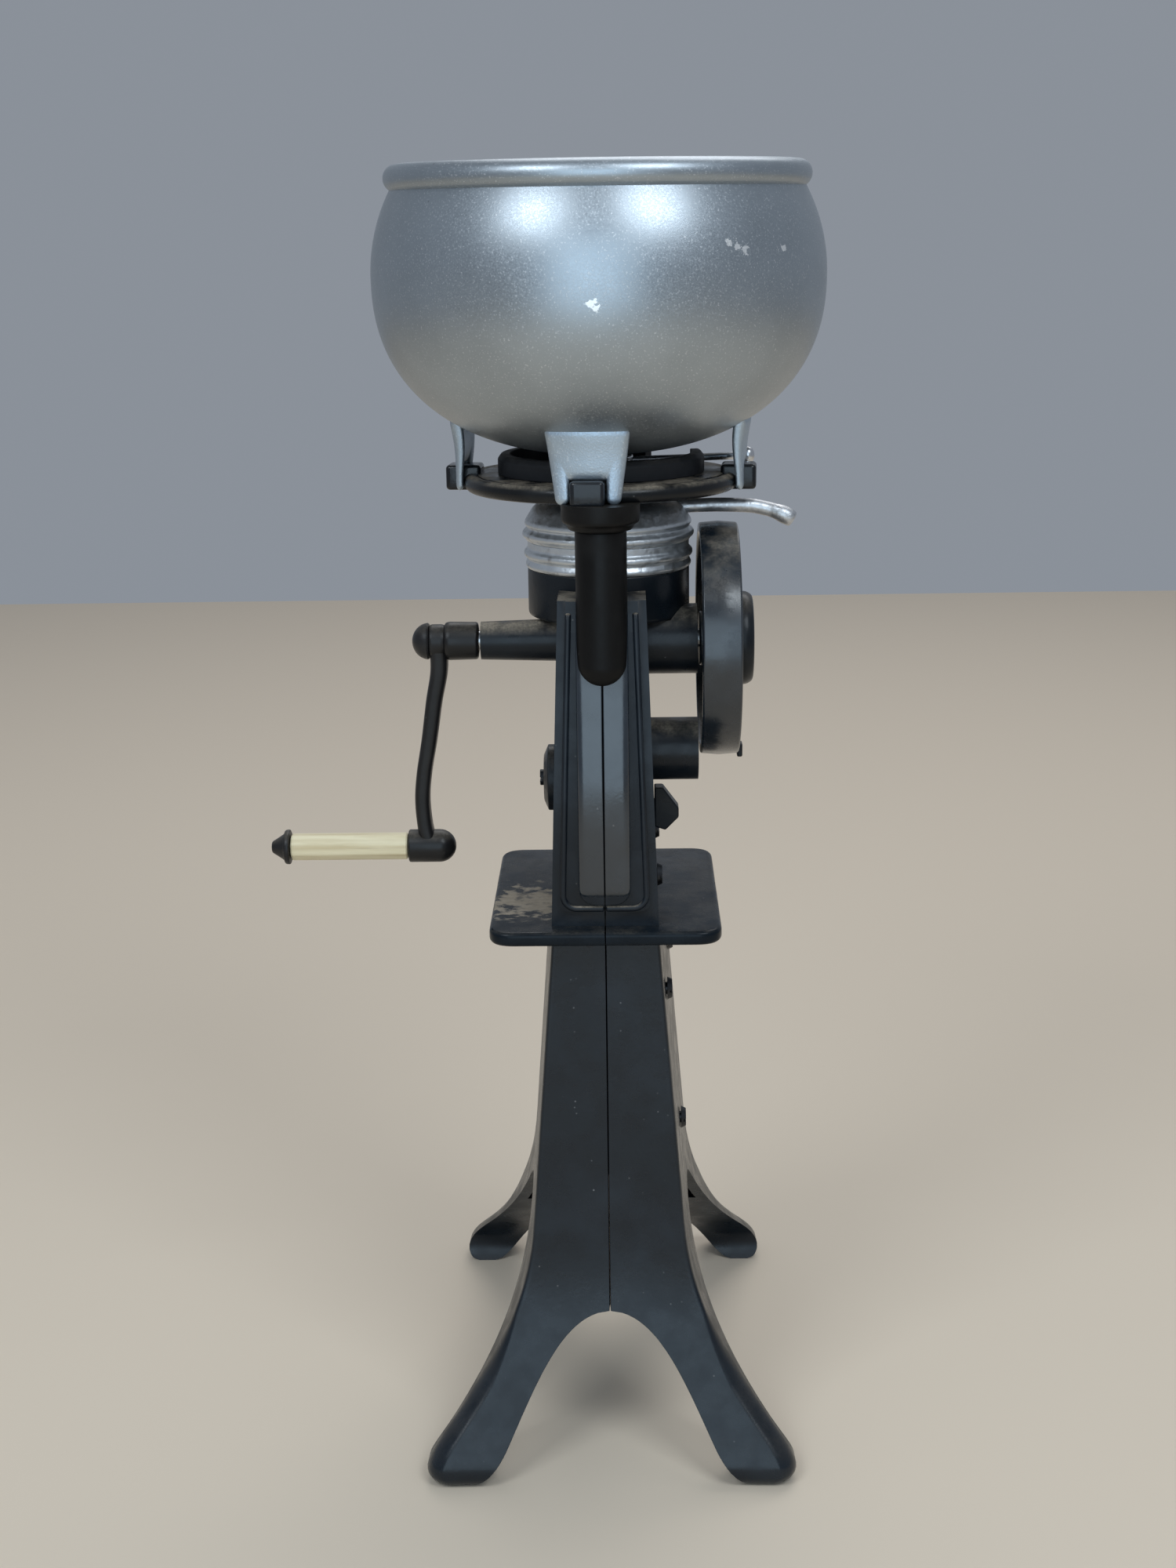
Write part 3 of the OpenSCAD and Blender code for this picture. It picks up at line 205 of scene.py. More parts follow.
def enamel(name, color=(0.0052, 0.0062, 0.0082), dust=0.0, roughness=0.3, grain=0.08,
           patch_scale=170.0, coat=0.0, sheen=0.26, chips=0.0, spot=None, seam=0.0):
    """Satin black stove enamel over a casting. Dust lies on the faces that look up, and in a
    ragged round patch where spot gives its x, y and radius in metres. Seam is the half width of
    a line of painted shade along the joint on the middle plane, standing in for the shade in
    the groove between the halves. Chips are sparse pale flecks."""
    material, shader, w = new_material(name, color)
    lighter = tuple(c * 1.5 + 0.003 for c in color)
    base = w.mix(w.ramp(w.noise(95.0, 4.0), 0.4, 0.75), color, lighter)
    specks = w.mask(SPECKS, Scale=260.0, Size=0.055)
    base = w.mix(w.times(specks, 0.45), base, (0.24, 0.23, 0.22))
    if chips:
        flecks = w.mask(SPECKS, Scale=620.0, Size=0.14)
        clumps = w.ramp(w.noise(210.0, 2.0), 0.58, 0.7)
        base = w.mix(w.times(flecks, clumps, chips), base, (0.42, 0.42, 0.43))
    mask = w.mask(DUST, Amount=dust, Patch_Scale=patch_scale)
    if spot:
        x, y, radius = spot
        off = [w.maths("SUBTRACT", w.axis(w.coords(), name), middle)
               for name, middle in (("X", x), ("Y", y))]
        ragged = w.plus(w.maths("SQRT", w.plus(*(w.times(part, part) for part in off))),
                        w.ramp(w.noise(420.0, 4.0), 0.3, 0.7, -0.5 * radius, 0.5 * radius))
        patch = w.times(w.ramp(ragged, radius, radius * 0.45), w.ramp(w.up(), 0.4, 0.9), 0.85)
        mask = w.maths("MAXIMUM", mask, patch)
    dust_tone = w.mix(w.noise(900.0), (0.22, 0.18, 0.135), (0.47, 0.40, 0.31))
    base = w.mix(mask, base, dust_tone)
    rough = w.ramp(w.noise(240.0, 4.0), 0.3, 0.7, roughness - 0.06, roughness + 0.08)
    # Painted shade: a near-black, matt line along the joint on the middle plane, standing in for the shade in the
    # groove between the two halves.
    if seam:
        grime_and_seam_shade = w.ramp(w.maths("ABSOLUTE", w.axis(w.coords(), "X")), seam, seam * 0.5)
        base = w.mix(grime_and_seam_shade, base, (0.0008, 0.0008, 0.0008))
        rough = w.plus(rough, w.times(grime_and_seam_shade, 0.6))
    swell = w.times(w.noise(180.0, 2.0), 1.6)
    fine = w.plus(w.plus(w.noise(1500.0, 2.0), swell), w.times(mask, 0.8))
    w.dress(shader, Base_Color=base, Roughness=w.plus(rough, w.times(mask, 0.5)),
            Specular_IOR_Level=sheen, Coat_Weight=coat, Coat_Roughness=0.22,
            Normal=w.bump(fine, grain, 0.0002))
    return material


def silver_paint(name, color=(0.40, 0.445, 0.485), roughness=0.37, flake=0.12, marks=()):
    """Silver paint: a metallic coat with fine flake, a few dark specks and dull clouds. Marks are
    small pale chips: each gives a place and a radius, in metres, of a ragged ball of bare metal."""
    material, shader, w = new_material(name, color)
    dull = w.ramp(w.noise(45.0, 4.0, 0.6), 0.3, 0.75)
    base = w.mix(dull, color, tuple(c * 0.86 for c in color))
    flakes = w.noise(3600.0, 1.0, 0.5)
    base = w.mix(w.ramp(flakes, 0.58, 0.8, 0.0, 0.45), base, (0.86, 0.87, 0.88))
    specks = w.mask(SPECKS, Scale=150.0, Size=0.035)
    base = w.mix(w.times(specks, 0.7), base, (0.10, 0.09, 0.08))
    ragged = w.ramp(w.noise(1400.0, 3.0), 0.3, 0.7, 0.35, 1.5)
    for place, radius in marks:
        chip = w.ramp(w.times(w.distance(place), ragged), radius, radius * 0.7)
        base = w.mix(chip, base, (0.92, 0.93, 0.93))
    w.dress(shader, Base_Color=base, Metallic=0.92, Normal=w.bump(flakes, flake, 0.00006),
            Roughness=w.ramp(flakes, 0.2, 0.8, roughness - 0.05, roughness + 0.1))
    return material


def rough_tin(name, color=(0.62, 0.65, 0.68)):
    """Cast tinware with a lumpy bright skin and dark dirt in its low places."""
    material, shader, w = new_material(name, color)
    lumps = w.noise(900.0, 4.0, 0.6)
    grime_and_seam_shade = w.ramp(w.noise(420.0, 3.0), 0.56, 0.8)
    w.dress(shader, Base_Color=w.mix(grime_and_seam_shade, color, (0.26, 0.25, 0.24)), Metallic=0.9,
            Roughness=w.ramp(lumps, 0.3, 0.7, 0.3, 0.5), Normal=w.bump(lumps, 0.35, 0.0003))
    return material


def turned_metal(name, color, roughness=0.3):
    """Plain machined metal with faint streaks and stains."""
    material, shader, w = new_material(name, color)
    streaks = w.noise(900.0, 3.0, 0.6, (0.15, 1.0, 1.0))
    stain = w.ramp(w.noise(300.0, 3.0), 0.5, 0.8, 0.0, 0.5)
    w.dress(shader, Base_Color=w.mix(stain, color, tuple(c * 0.5 for c in color)), Metallic=1.0,
            Roughness=w.ramp(streaks, 0.3, 0.7, roughness - 0.06, roughness + 0.12),
            Normal=w.bump(streaks, 0.15, 0.00008))
    return material


def pale_wood(name):
    """Cream bare wood with fine long grain along X and a few darker pores."""
    material, shader, w = new_material(name, (0.75, 0.66, 0.44))
    grain = w.noise(700.0, 4.0, 0.6, (0.06, 1.0, 1.0))
    base = w.mix(w.ramp(grain, 0.3, 0.72), (0.80, 0.71, 0.49), (0.62, 0.51, 0.31))
    pores = w.ramp(w.noise(2200.0, 2.0, 0.5, (0.04, 1.0, 1.0)), 0.62, 0.8, 0.0, 0.4)
    w.dress(shader, Base_Color=w.mix(pores, base, (0.40, 0.30, 0.17)), Roughness=0.55,
            Normal=w.bump(grain, 0.2, 0.0001))
    return material


MATERIALS = {
    "black": enamel("black_enamel", (0.0050, 0.0075, 0.0105), dust=0.2),
    # The housing's seam value paints a line of shade along the joint between its halves.
    "housing": enamel("housing_enamel", (0.0045, 0.0075, 0.0115), dust=0.9, patch_scale=130.0,
                      roughness=0.32, sheen=0.3, seam=0.00017),
    "rib": enamel("rib_enamel", (0.0050, 0.0105, 0.0170), dust=0.1, roughness=0.2, sheen=0.7,
                  coat=0.6),
    "pedestal": enamel("pedestal_enamel", (0.0045, 0.0085, 0.0135), dust=0.08, chips=0.5,
                       roughness=0.3, sheen=0.4),
    "shelf": enamel("shelf_enamel", (0.005, 0.0085, 0.0125), dust=0.1, roughness=0.22, sheen=0.14,
                    spot=(-0.0115, -0.0135, 0.0092)),
    "plate": enamel("plate_enamel", (0.006, 0.0066, 0.0075), dust=0.75, roughness=0.28),
    "gloss": enamel("glossy_enamel", dust=0.05, roughness=0.18, sheen=0.4),
    "matt": enamel("matt_enamel", (0.0042, 0.0040, 0.0040), dust=0.06, roughness=0.42, sheen=0.16),
    "crank": enamel("crank_enamel", (0.0095, 0.009, 0.0092), dust=0.25, roughness=0.34, sheen=0.3),
    "pulley": enamel("pulley_enamel", (0.0055, 0.010, 0.0155), dust=0.42, roughness=0.26,
                     patch_scale=150.0, sheen=0.6, coat=0.5),
    "ring": enamel("charcoal_ring", (0.012, 0.0125, 0.0145), dust=0.1, roughness=0.5),
    "can": silver_paint("can_silver", marks=(
        ((-0.0007, -0.0359, 0.1882), 0.0006), ((-0.0002, -0.0359, 0.1873), 0.0004),
        ((0.0193, -0.0298, 0.1962), 0.0006), ((0.0204, -0.0292, 0.1957), 0.0006),
        ((0.0214, -0.0284, 0.1951), 0.0005), ((0.0276, -0.0226, 0.1952), 0.0006))),
    "frost": silver_paint("frosted_lugs", (0.46, 0.54, 0.62), 0.42, 0.5),
    "tin": rough_tin("rough_tin"),
    "spout": rough_tin("spout_tin", (0.58, 0.59, 0.61)),
    "bright": turned_metal("bright_tin", (0.66, 0.67, 0.69), 0.26),
    "steel": turned_metal("bright_steel", (0.56, 0.57, 0.58)),
    "blued": turned_metal("blued_steel", (0.050, 0.052, 0.056), 0.38),
    "bowl": turned_metal("tinned_bowl", (0.66, 0.67, 0.68), 0.22),
    "bronze": turned_metal("bearing_bronze", (0.62, 0.43, 0.20), 0.34),
    "wood": pale_wood("grip_wood"),
}

# ---- floor, light and camera


def make_floor():
    """A plain pale matt floor under the feet."""
    bpy.ops.mesh.primitive_plane_add(size=1.6, location=(0, 0, 0))
    floor = bpy.context.object
    floor.name = "floor"
    material, shader, w = new_material("pale_floor", (0.70, 0.60, 0.48))
    w.dress(shader, Roughness=0.8)
    floor.data.materials.append(material)


def make_world():
    """Even light from all round, which also shows behind the object."""
    world = bpy.data.worlds.new("surround")
    world.use_nodes = True
    Wires(world.node_tree).dress(world.node_tree.nodes["Background"],
                                 Color=(0.80, 0.88, 1.0), Strength=0.32)
    bpy.context.scene.world = world


def add_lamp(name, place, size, power, color=(1, 1, 1)):
    """A square soft box at place, facing the middle of the object."""
    data = bpy.data.lights.new(name, "AREA")
    data.size = size
    data.energy = power
    data.color = color
    lamp = bpy.data.objects.new(name, data)
    bpy.context.collection.objects.link(lamp)
    lamp.location = place
    aim = Vector((0.0, 0.0, 0.12)) - Vector(place)
    lamp.rotation_euler = aim.to_track_quat("-Z", "Y").to_euler()


def make_camera():
    """The camera stands a little left of and above the shelf, and looks slightly down."""
    place, focal_length, film_width = (0.00345, -0.35327, 0.20099), 66.48, 36.0
    yaw, pitch, roll = (math.radians(a) for a in (-1.028, 14.793, 0.858))
    forward = Vector((math.sin(yaw) * math.cos(pitch), math.cos(yaw) * math.cos(pitch),
                      -math.sin(pitch)))
    level = Vector((math.cos(yaw), -math.sin(yaw), 0.0))
    down = forward.cross(level)
    right = level * math.cos(roll) + down * math.sin(roll)
    below = down * math.cos(roll) - level * math.sin(roll)
    data = bpy.data.cameras.new("camera")
    data.sensor_fit = "HORIZONTAL"
    data.sensor_width = film_width
    data.lens = focal_length
    data.clip_start = 0.01
    camera = bpy.data.objects.new("camera", data)
    bpy.context.collection.objects.link(camera)
    turn = Matrix((right, -below, -forward)).transposed().to_4x4()
    camera.matrix_world = Matrix.Translation(place) @ turn
    bpy.context.scene.camera = camera


make_floor()
make_world()
make_camera()
add_lamp("key_left", (-0.31, -0.42, 0.60), 0.25, 1.4, (0.84, 0.93, 1.0))
add_lamp("key_right", (0.26, -0.40, 0.60), 0.25, 1.4, (0.84, 0.93, 1.0))
add_lamp("front_window", (-0.04, -0.85, 0.25), 0.6, 2.0, (0.66, 0.85, 1.0))
add_lamp("back_soft", (0.1, 0.45, 0.8), 0.6, 2.4)
bpy.context.scene.view_settings.view_transform = "Standard"

# ---- surfaces worked out with numpy


def unit(vectors):
    """The vectors in rows, each divided by its length."""
    return vectors / np.linalg.norm(vectors, axis=1)[:, None]


def quarter(count):
    """Evenly spaced angles from 0 to a quarter turn."""
    return np.linspace(0, math.pi / 2, count)


def rounded(corners, radius, steps=4, closed=True):
    """Profile with its corners eased: each corner c becomes the curve A(1-t)^2 + 2c t(1-t) + B t^2,
    where A and B lie on the two sides at the corner's radius, or at half a short side."""
    c = np.asarray(corners, float)
    radius = np.broadcast_to(np.asarray(radius, float), len(c))
    ends = []
    for side in (np.roll(c, 1, 0) - c, np.roll(c, -1, 0) - c):
        share = np.minimum(radius / np.maximum(np.linalg.norm(side, axis=1), 1e-9), 0.5)
        if not closed:
            share[[0, -1]] = 0.0
        ends.append(c + side * share[:, None])
    a, b = ends
    t = np.linspace(0, 1, steps + 1)[None, :, None]
    curve = a[:, None] * (1 - t) ** 2 + 2 * c[:, None] * t * (1 - t) + b[:, None] * t ** 2
    curve = curve.reshape(-1, c.shape[1])
    keep = np.r_[True, np.linalg.norm(np.diff(curve, axis=0), axis=1) > 1e-6]
    return curve[keep]


def grid_faces(rows, columns, close_rows=False, close_columns=False):
    """Quads of a grid of points, as index quadruples, wrapped round where asked."""
    r = np.arange(rows if close_rows else rows - 1)
    c = np.arange(columns if close_columns else columns - 1)
    r, c = np.meshgrid(r, c, indexing="ij")
    r2, c2 = (r + 1) % rows, (c + 1) % columns
    quads = np.stack([r * columns + c, r * columns + c2, r2 * columns + c2, r2 * columns + c], -1)
    return quads.reshape(-1, 4)


def ring_faces(rings, foot=True, top=True):
    """Quads between the closed rings of an array of points, with a flat face on the first ring
    and on the last where asked."""
    rows, columns = rings.shape[:2]
    ring = np.arange(columns)
    return (list(grid_faces(rows, columns, False, True)) + [ring[::-1]] * foot
            + [ring + columns * (rows - 1)] * top)


def raised(rings, heights):
    """Rings of (x, y), each set at its height, as one list of points."""
    z = np.broadcast_to(heights[:, None, None], rings.shape[:2] + (1,))
    return np.concatenate([rings, z], -1).reshape(-1, 3)


def joined(*parts):
    """Several (points, faces) pairs as one."""
    counts = np.cumsum([0] + [len(points) for points, _ in parts])
    faces = [f + n for n, (_, group) in zip(counts, parts) for f in group]
    return np.concatenate([points for points, _ in parts]), faces


def turned(profile, centre=(0, 0, 0), axis="Z", sides=128, span=None):
    """Surface of revolution: each profile point (r, h) runs round the axis through centre as
    (r cos a, r sin a, h), or with X as the axis (h, r cos a, r sin a). A span is two angles in
    degrees that a runs between, and closes the surface at both."""
    p = np.asarray(profile, float)
    a = np.radians(np.linspace(*span, sides)) if span else np.linspace(0, TAU, sides, False)
    a = a[:, None]
    r, h = p[None, :, 0], p[None, :, 1] + 0 * a
    ring = [r * np.cos(a), r * np.sin(a)]
    points = np.stack(ring + [h] if axis == "Z" else [h] + ring, -1)
    faces = ring_faces(points) if span else grid_faces(sides, len(p), True, True)
    return points.reshape(-1, 3) + np.asarray(centre, float), faces


def box_section(count, power):
    """Closed outline of a rounded square of half size 1: a superellipse of the given power."""
    a = np.linspace(0, TAU, count, endpoint=False)
    c, s = np.cos(a), np.sin(a)
    size = (np.abs(c) ** power + np.abs(s) ** power) ** (-1 / power)
    return np.stack([c * size, s * size], -1)


def swept(path, half_a, half_b, section, cap=5):
    """Section carried along a path in an XZ plane: its first axis lies along Y, and its second
    square to the path. Ends close on a quarter ellipse."""
    path = np.asarray(path, float)
    n = len(path)
    tangent = unit(np.gradient(path, axis=0))
    second = unit(np.cross(tangent, Y_AXIS))
    half_a, half_b = (np.broadcast_to(np.asarray(half, float), n) for half in (half_a, half_b))
    turn = quarter(cap + 1)
    lead = np.minimum(half_a, half_b)
    order = np.r_[np.zeros(cap, int), np.arange(n), np.full(cap, n - 1)]
    scale = np.r_[np.sin(turn[:-1]) + 1e-3, np.ones(n), np.cos(turn[1:]) + 1e-3]
    push = np.r_[-np.cos(turn[:-1]), np.zeros(n), np.sin(turn[1:])] * lead[order] * 0.6
    centre = path[order] + tangent[order] * push[:, None]
    points = (centre[:, None]
              + section[None, :, :1] * (Y_AXIS * (half_a[order] * scale)[:, None])[:, None]
              + section[None, :, 1:] * (second[order] * (half_b[order] * scale)[:, None])[:, None])
    return points.reshape(-1, 3), grid_faces(len(order), len(section), False, True)


def smooth_path(knots, count=60):
    """Points evenly spaced in parameter on the Catmull-Rom curve through the knots."""
    k = np.asarray(knots, float)
    k = np.vstack([2 * k[0] - k[1], k, 2 * k[-1] - k[-2]])
    u = np.linspace(0, len(k) - 3 - 1e-9, count)
    i = u.astype(int)
    t = (u - i)[:, None]
    p0, p1, p2, p3 = (k[i + j] for j in range(4))
    return 0.5 * (2 * p1 + (p2 - p0) * t + (2 * p0 - 5 * p1 + 4 * p2 - p3) * t ** 2
                  + (3 * p1 - p0 - 3 * p2 + p3) * t ** 3)


def add_piece(name, shape, material, body, node=None, crease=32, bevel=0.0):
    """Makes a closed piece from (points in mm, faces), smooths it and places it on its body."""
    points, faces = shape
    mesh = bpy.data.meshes.new(name)
    mesh.from_pydata((points * MM).tolist(), [], [list(map(int, f)) for f in faces])
    cleaner = bmesh.new()
    cleaner.from_mesh(mesh)
    bmesh.ops.remove_doubles(cleaner, verts=cleaner.verts, dist=2e-6)
    bmesh.ops.dissolve_degenerate(cleaner, edges=cleaner.edges, dist=1e-6)
    rims = [e for e in cleaner.edges if e.is_boundary]
    bmesh.ops.holes_fill(cleaner, edges=rims, sides=0)
    bmesh.ops.recalc_face_normals(cleaner, faces=cleaner.faces)
    cleaner.to_mesh(mesh)
    cleaner.free()
    place_mesh(name, mesh, material, body, node, crease, bevel)


def place_mesh(name, mesh, material, body, node, crease, bevel):
    """Shades the mesh, bevels its sharp edges if asked, and ties it to its CAD body."""
    mesh.shade_smooth()
    mesh.set_sharp_from_angle(angle=math.radians(crease))
    mesh.materials.append(MATERIALS[material])
    piece = bpy.data.objects.new(name, mesh)
    bpy.context.collection.objects.link(piece)
    if bevel:
        modifier = piece.modifiers.new("eased_edges", "BEVEL")
        modifier.width = bevel * MM
        modifier.segments = 3
        modifier.limit_method = "ANGLE"
        modifier.angle_limit = math.radians(crease)
    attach(piece, body)
    if node:
        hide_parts(node)


def eased_copy(name, node, material, bevel, body="stand"):
    """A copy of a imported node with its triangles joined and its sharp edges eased."""
    cleaner = bmesh.new()
    cleaner.from_mesh(frame["nodes"][node].data)
    bmesh.ops.remove_doubles(cleaner, verts=cleaner.verts, dist=1.5e-6)
    bmesh.ops.dissolve_limit(cleaner, angle_limit=math.radians(0.6), verts=cleaner.verts,
                             edges=cleaner.edges)
    mesh = bpy.data.meshes.new(name)
    cleaner.to_mesh(mesh)
    cleaner.free()
    place_mesh(name, mesh, material, body, node, 28, bevel)


def slab(outline, rings):
    """A plate from a convex outline in the plane: each ring is (inset, height), the outline moved
    in along its corner bisectors, and the first and last rings close with flat faces."""
    o = np.asarray(outline, float)
    along = unit(o - np.roll(o, 1, 0)) + unit(np.roll(o, -1, 0) - o)
    normal = unit(np.stack([-along[:, 1], along[:, 0]], -1))
    inset, height = np.asarray(rings, float).T
    moved = o[None] + normal[None] * inset[:, None, None]
    return raised(moved, height), ring_faces(moved)


def edge_rings(low, high, radius):
    """(inset, height) pairs of a plate from low to high whose two edges are quarter circles."""
    a = quarter(6)
    foot = np.stack([radius * (1 - np.sin(a)), low + radius * (1 - np.cos(a))], -1)
    return np.concatenate([foot, foot[::-1] * [1, -1] + [0, low + high]])


def pipe(path, outer, bore, sides=40):
    """A tube along a path in an XZ plane: rings of the outer radius out to the mouth, back in
    along the bore, and round the ends, as one closed band of rings."""
    path = np.asarray(path, float)
    n = len(path)
    tangent = unit(np.gradient(path, axis=0))
    second = np.cross(tangent, Y_AXIS)
    order = np.r_[np.arange(n), n - 1, np.arange(n)[::-1], 0]
    outer = np.broadcast_to(np.asarray(outer, float), n)
    radius = np.r_[outer, (outer[-1] + bore) / 2, np.full(n, bore), (outer[0] + bore) / 2]
    push = np.zeros(len(order))
    push[n], push[-1] = 0.18, -0.05
    a = np.linspace(0, TAU, sides, endpoint=False)
    centre = path[order] + tangent[order] * push[:, None]
    points = (centre[:, None] + np.cos(a)[None, :, None] * Y_AXIS * radius[:, None, None]
              + np.sin(a)[None, :, None] * second[order][:, None] * radius[:, None, None])
    return points.reshape(-1, 3), grid_faces(len(order), sides, True, True)


def turn_z(shape, degrees):
    """The shape turned about the vertical axis."""
    points, faces = shape
    a = math.radians(degrees)
    x, y, z = points.T
    return np.stack([x * math.cos(a) - y * math.sin(a), x * math.sin(a) + y * math.cos(a), z],
                    -1), faces


def on_side(side, shape):
    """The left-hand shape, or for the right its mirror image across the middle plane, with its
    faces turned round again."""
    points, faces = shape
    if side == "left":
        return shape
    return points * [-1, 1, 1], [np.asarray(f)[::-1] for f in faces]


# ---- places and sizes in mm


def heights(node):
    """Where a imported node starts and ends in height."""
    return [round(corner.z / MM, 2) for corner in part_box(node)]


AXES = {joint["name"]: [round(v / MM, 2) for v in joint.get("pos_m", ())]
        for joint in frame["joints"]}
_, CRANK_Y, CRANK_Z = AXES["crank_turn"]
GRIP_CENTRE = (0, *AXES["grip_spin"][1:])
SPINDLE_X = AXES["spindle_turn"][0]
POST_Y = AXES["bracket_swing"][1]
LEVER_Z = AXES["outlet_turn"][2]
SHELF_Z, HOUSING_TOP = heights("housing_left")
CASING_Z, CASING_TOP = heights("bowl_casing")
SKIM_TOP, CREAM_TOP = heights("skim_cover")[1], heights("cream_cover")[1]
PLATE_TOP, RING_TOP = heights("seat_ring")
POST_FOOT, POST_TOP = heights("bracket_post")

SEAT_GAP, SEAM = 0.01, 0.1
SHELF_T, PLATE_T, WALL = 2.3, 2.7, 2.2
PLATE_Z = PLATE_TOP - PLATE_T
CAN_R, CAN_T, RIM_R = 36.0, 1.3, 2.15
CAN_Z = RING_TOP + SEAT_GAP
WIDE_Z, RIM_Z = CAN_Z + 27.9, CAN_Z + 42.9
LUG_TURN, LEVER_TURN = -4.6, 15
SHAFT_R, GRIP_HALF = 1.6, 2.15
HOUSING_HALF_W, HOUSING_LEAN = 8.5, 1.6
FRONT_ARCH_H, SIDE_ARCH_H, LEG_SOLID_TOP = 26.0, 36.0, 22.0
LEG_D, TOE_EXTRA, TOE_RISE = 4.5, 4.5, 10.0

# ---- supply can and its lugs


def can_lower_r(h):
    """Lower wall: a superellipse of power 2.3, widest at the can's widest height."""
    return CAN_R * np.maximum(1 - (h / 28.05) ** 2.3, 0) ** (1 / 2.3)


def can_upper_r(h):
    """Upper wall: an ellipse that closes in by 4.4 mm at the rim."""
    return CAN_R * np.sqrt(1 - (h / 31.3) ** 2)


def can_body():
    """The can's wall section, turned: outside up, round the rolled rim, inside down, nipple."""
    depth, rim_centre = WIDE_Z - CAN_Z, 31.42
    low_h = depth * np.sin(quarter(46)[::-1])
    high_h = np.linspace(0.4, 13.2, 22)
    roll = np.radians(np.linspace(-52, 266, 44))
    outer = np.stack([np.r_[can_lower_r(low_h), can_upper_r(high_h)],
                      np.r_[WIDE_Z - low_h, WIDE_Z + high_h]], -1)
    rim = np.stack([rim_centre + RIM_R * np.cos(roll), RIM_Z + RIM_R * np.sin(roll)], -1)
    inner_share, inner_high = np.sin(quarter(40)), high_h[:-1][::-1]
    inner_r = np.r_[can_upper_r(inner_high), can_lower_r(depth * inner_share)] - CAN_T
    inner_z = np.r_[WIDE_Z + inner_high, WIDE_Z - (depth - CAN_T) * inner_share]
    inner = np.stack([inner_r, inner_z], -1)
    bore, nipple_r, foot = 1.6, 3.2, CAN_Z - 6.4
    nipple = [[bore, CAN_Z + CAN_T], [bore, foot], [nipple_r, foot], [nipple_r, CAN_Z]]
    return turned(np.concatenate([outer, rim, inner, nipple]), sides=192)


def lug(turn):
    """A forked lug: a strip bent over the tab's slot, whose inner edge is the slot and whose
    outer edge is the lug's side and top, set on the can's round and turned about its axis."""
    slot, foot, slot_top, top = 2.85, 157.55, 161.4, 169.4
    half_w, half_foot, arch = 6.6, 5.1, 0.45
    count, ends = 61, 6
    prong = (half_foot - slot) / 2
    u = np.linspace(-1, 1, count)
    side = np.clip((np.abs(u) - arch) / (1 - arch), 0, 1)
    arc = np.clip(np.abs(u) / arch, 0, 1)
    inner = np.stack([np.sign(u) * slot * np.minimum(arc * 1.08, 1),
                      slot_top - (slot_top - foot - prong) * side], -1)
    outer = np.stack([np.sign(u) * (half_w * arc - (half_w - half_foot) * side),
                      top - (top - foot - prong) * side], -1)
    mid, half = (inner + outer) / 2, (outer - inner) / 2
    cap = np.radians(np.linspace(8, 90, ends + 1))[:-1]
    order = np.r_[np.zeros(ends, int), np.arange(count), np.full(ends, count - 1)]
    scale = np.r_[np.sin(cap), np.ones(count), np.sin(cap)[::-1]]
    drop = np.r_[np.cos(cap), np.zeros(count), np.cos(cap)[::-1]] * prong
    section = box_section(20, 3.2)
    y = mid[order, 0][:, None] + (half[order, 0] * scale)[:, None] * section[None, :, 0]
    z = (mid[order, 1] - drop)[:, None] + (half[order, 1] * scale)[:, None] * section[None, :, 0]
    lean = np.clip((z - PLATE_TOP) / (top + 0.1 - PLATE_TOP), 0, 1)
    radius = (22.92 - 0.5 * lean + 1.3 * lean ** 3
              + (0.58 + 0.5 * lean) * scale[:, None] * section[None, :, 1])
    x = np.sqrt(np.maximum(radius ** 2 - y ** 2, 0))
    points = np.stack([x, y, z], -1).reshape(-1, 3)
    return turn_z((points, grid_faces(len(order), 20, False, True)), turn)


def supply_can():
    """The can, and its four lugs a quarter turn apart."""
    add_piece("supply_can_body", can_body(), "can", "can", "supply_can", 50)
    for k in range(4):
        add_piece("supply_can_lug_%d" % (k + 1), lug(LUG_TURN - 90 + 90 * k), "frost", "can",
                  crease=60)


# ---- bracket, ring, post and outlet


def bracket():
    """Plate with a rounded edge, four rounded tabs, and the stepped collar with its pin."""
    a = np.radians(np.linspace(-90, 90, 17))
    middle, half_t = (PLATE_TOP + PLATE_Z) / 2, (PLATE_TOP - PLATE_Z) / 2
    edge = np.stack([20.95 + 1.25 * np.cos(a), middle + half_t * np.sin(a)], -1)
    flat = rounded([[20.0, PLATE_TOP], [6.2, PLATE_TOP], [6.2, PLATE_Z], [20.0, PLATE_Z]], 0.3, 3)
    plate = turned(np.concatenate([flat, edge]), sides=160)
    add_piece("bracket_plate", plate, "plate", "bracket", "can_bracket")
    collar = rounded([[0.01, 138.6], [2.0, 138.6], [2.0, 153.6], [4.9, 153.6], [5.25, 154.5],
                      [6.05, 154.9], [6.1, PLATE_Z + 0.3], [0.01, PLATE_Z + 0.3]],
                     [0, 0.3, 0, 0.6, 0.35, 0.5, 0, 0])
    add_piece("bracket_collar", turned(collar, (0, POST_Y, 0), "Z", 64), "matt", "bracket")
    near, far, half_w = 19.4, 25.1, 2.65
    outline = rounded([[near, -half_w], [far, -half_w], [far, half_w], [near, half_w]], 0.8, 5)
    tab = slab(outline, edge_rings(PLATE_Z, PLATE_Z + 4.0, 0.6))
    for k in range(4):
        add_piece("bracket_tab_%d" % (k + 1), turn_z(tab, LUG_TURN - 90 + 90 * k), "gloss",
                  "bracket", crease=34)


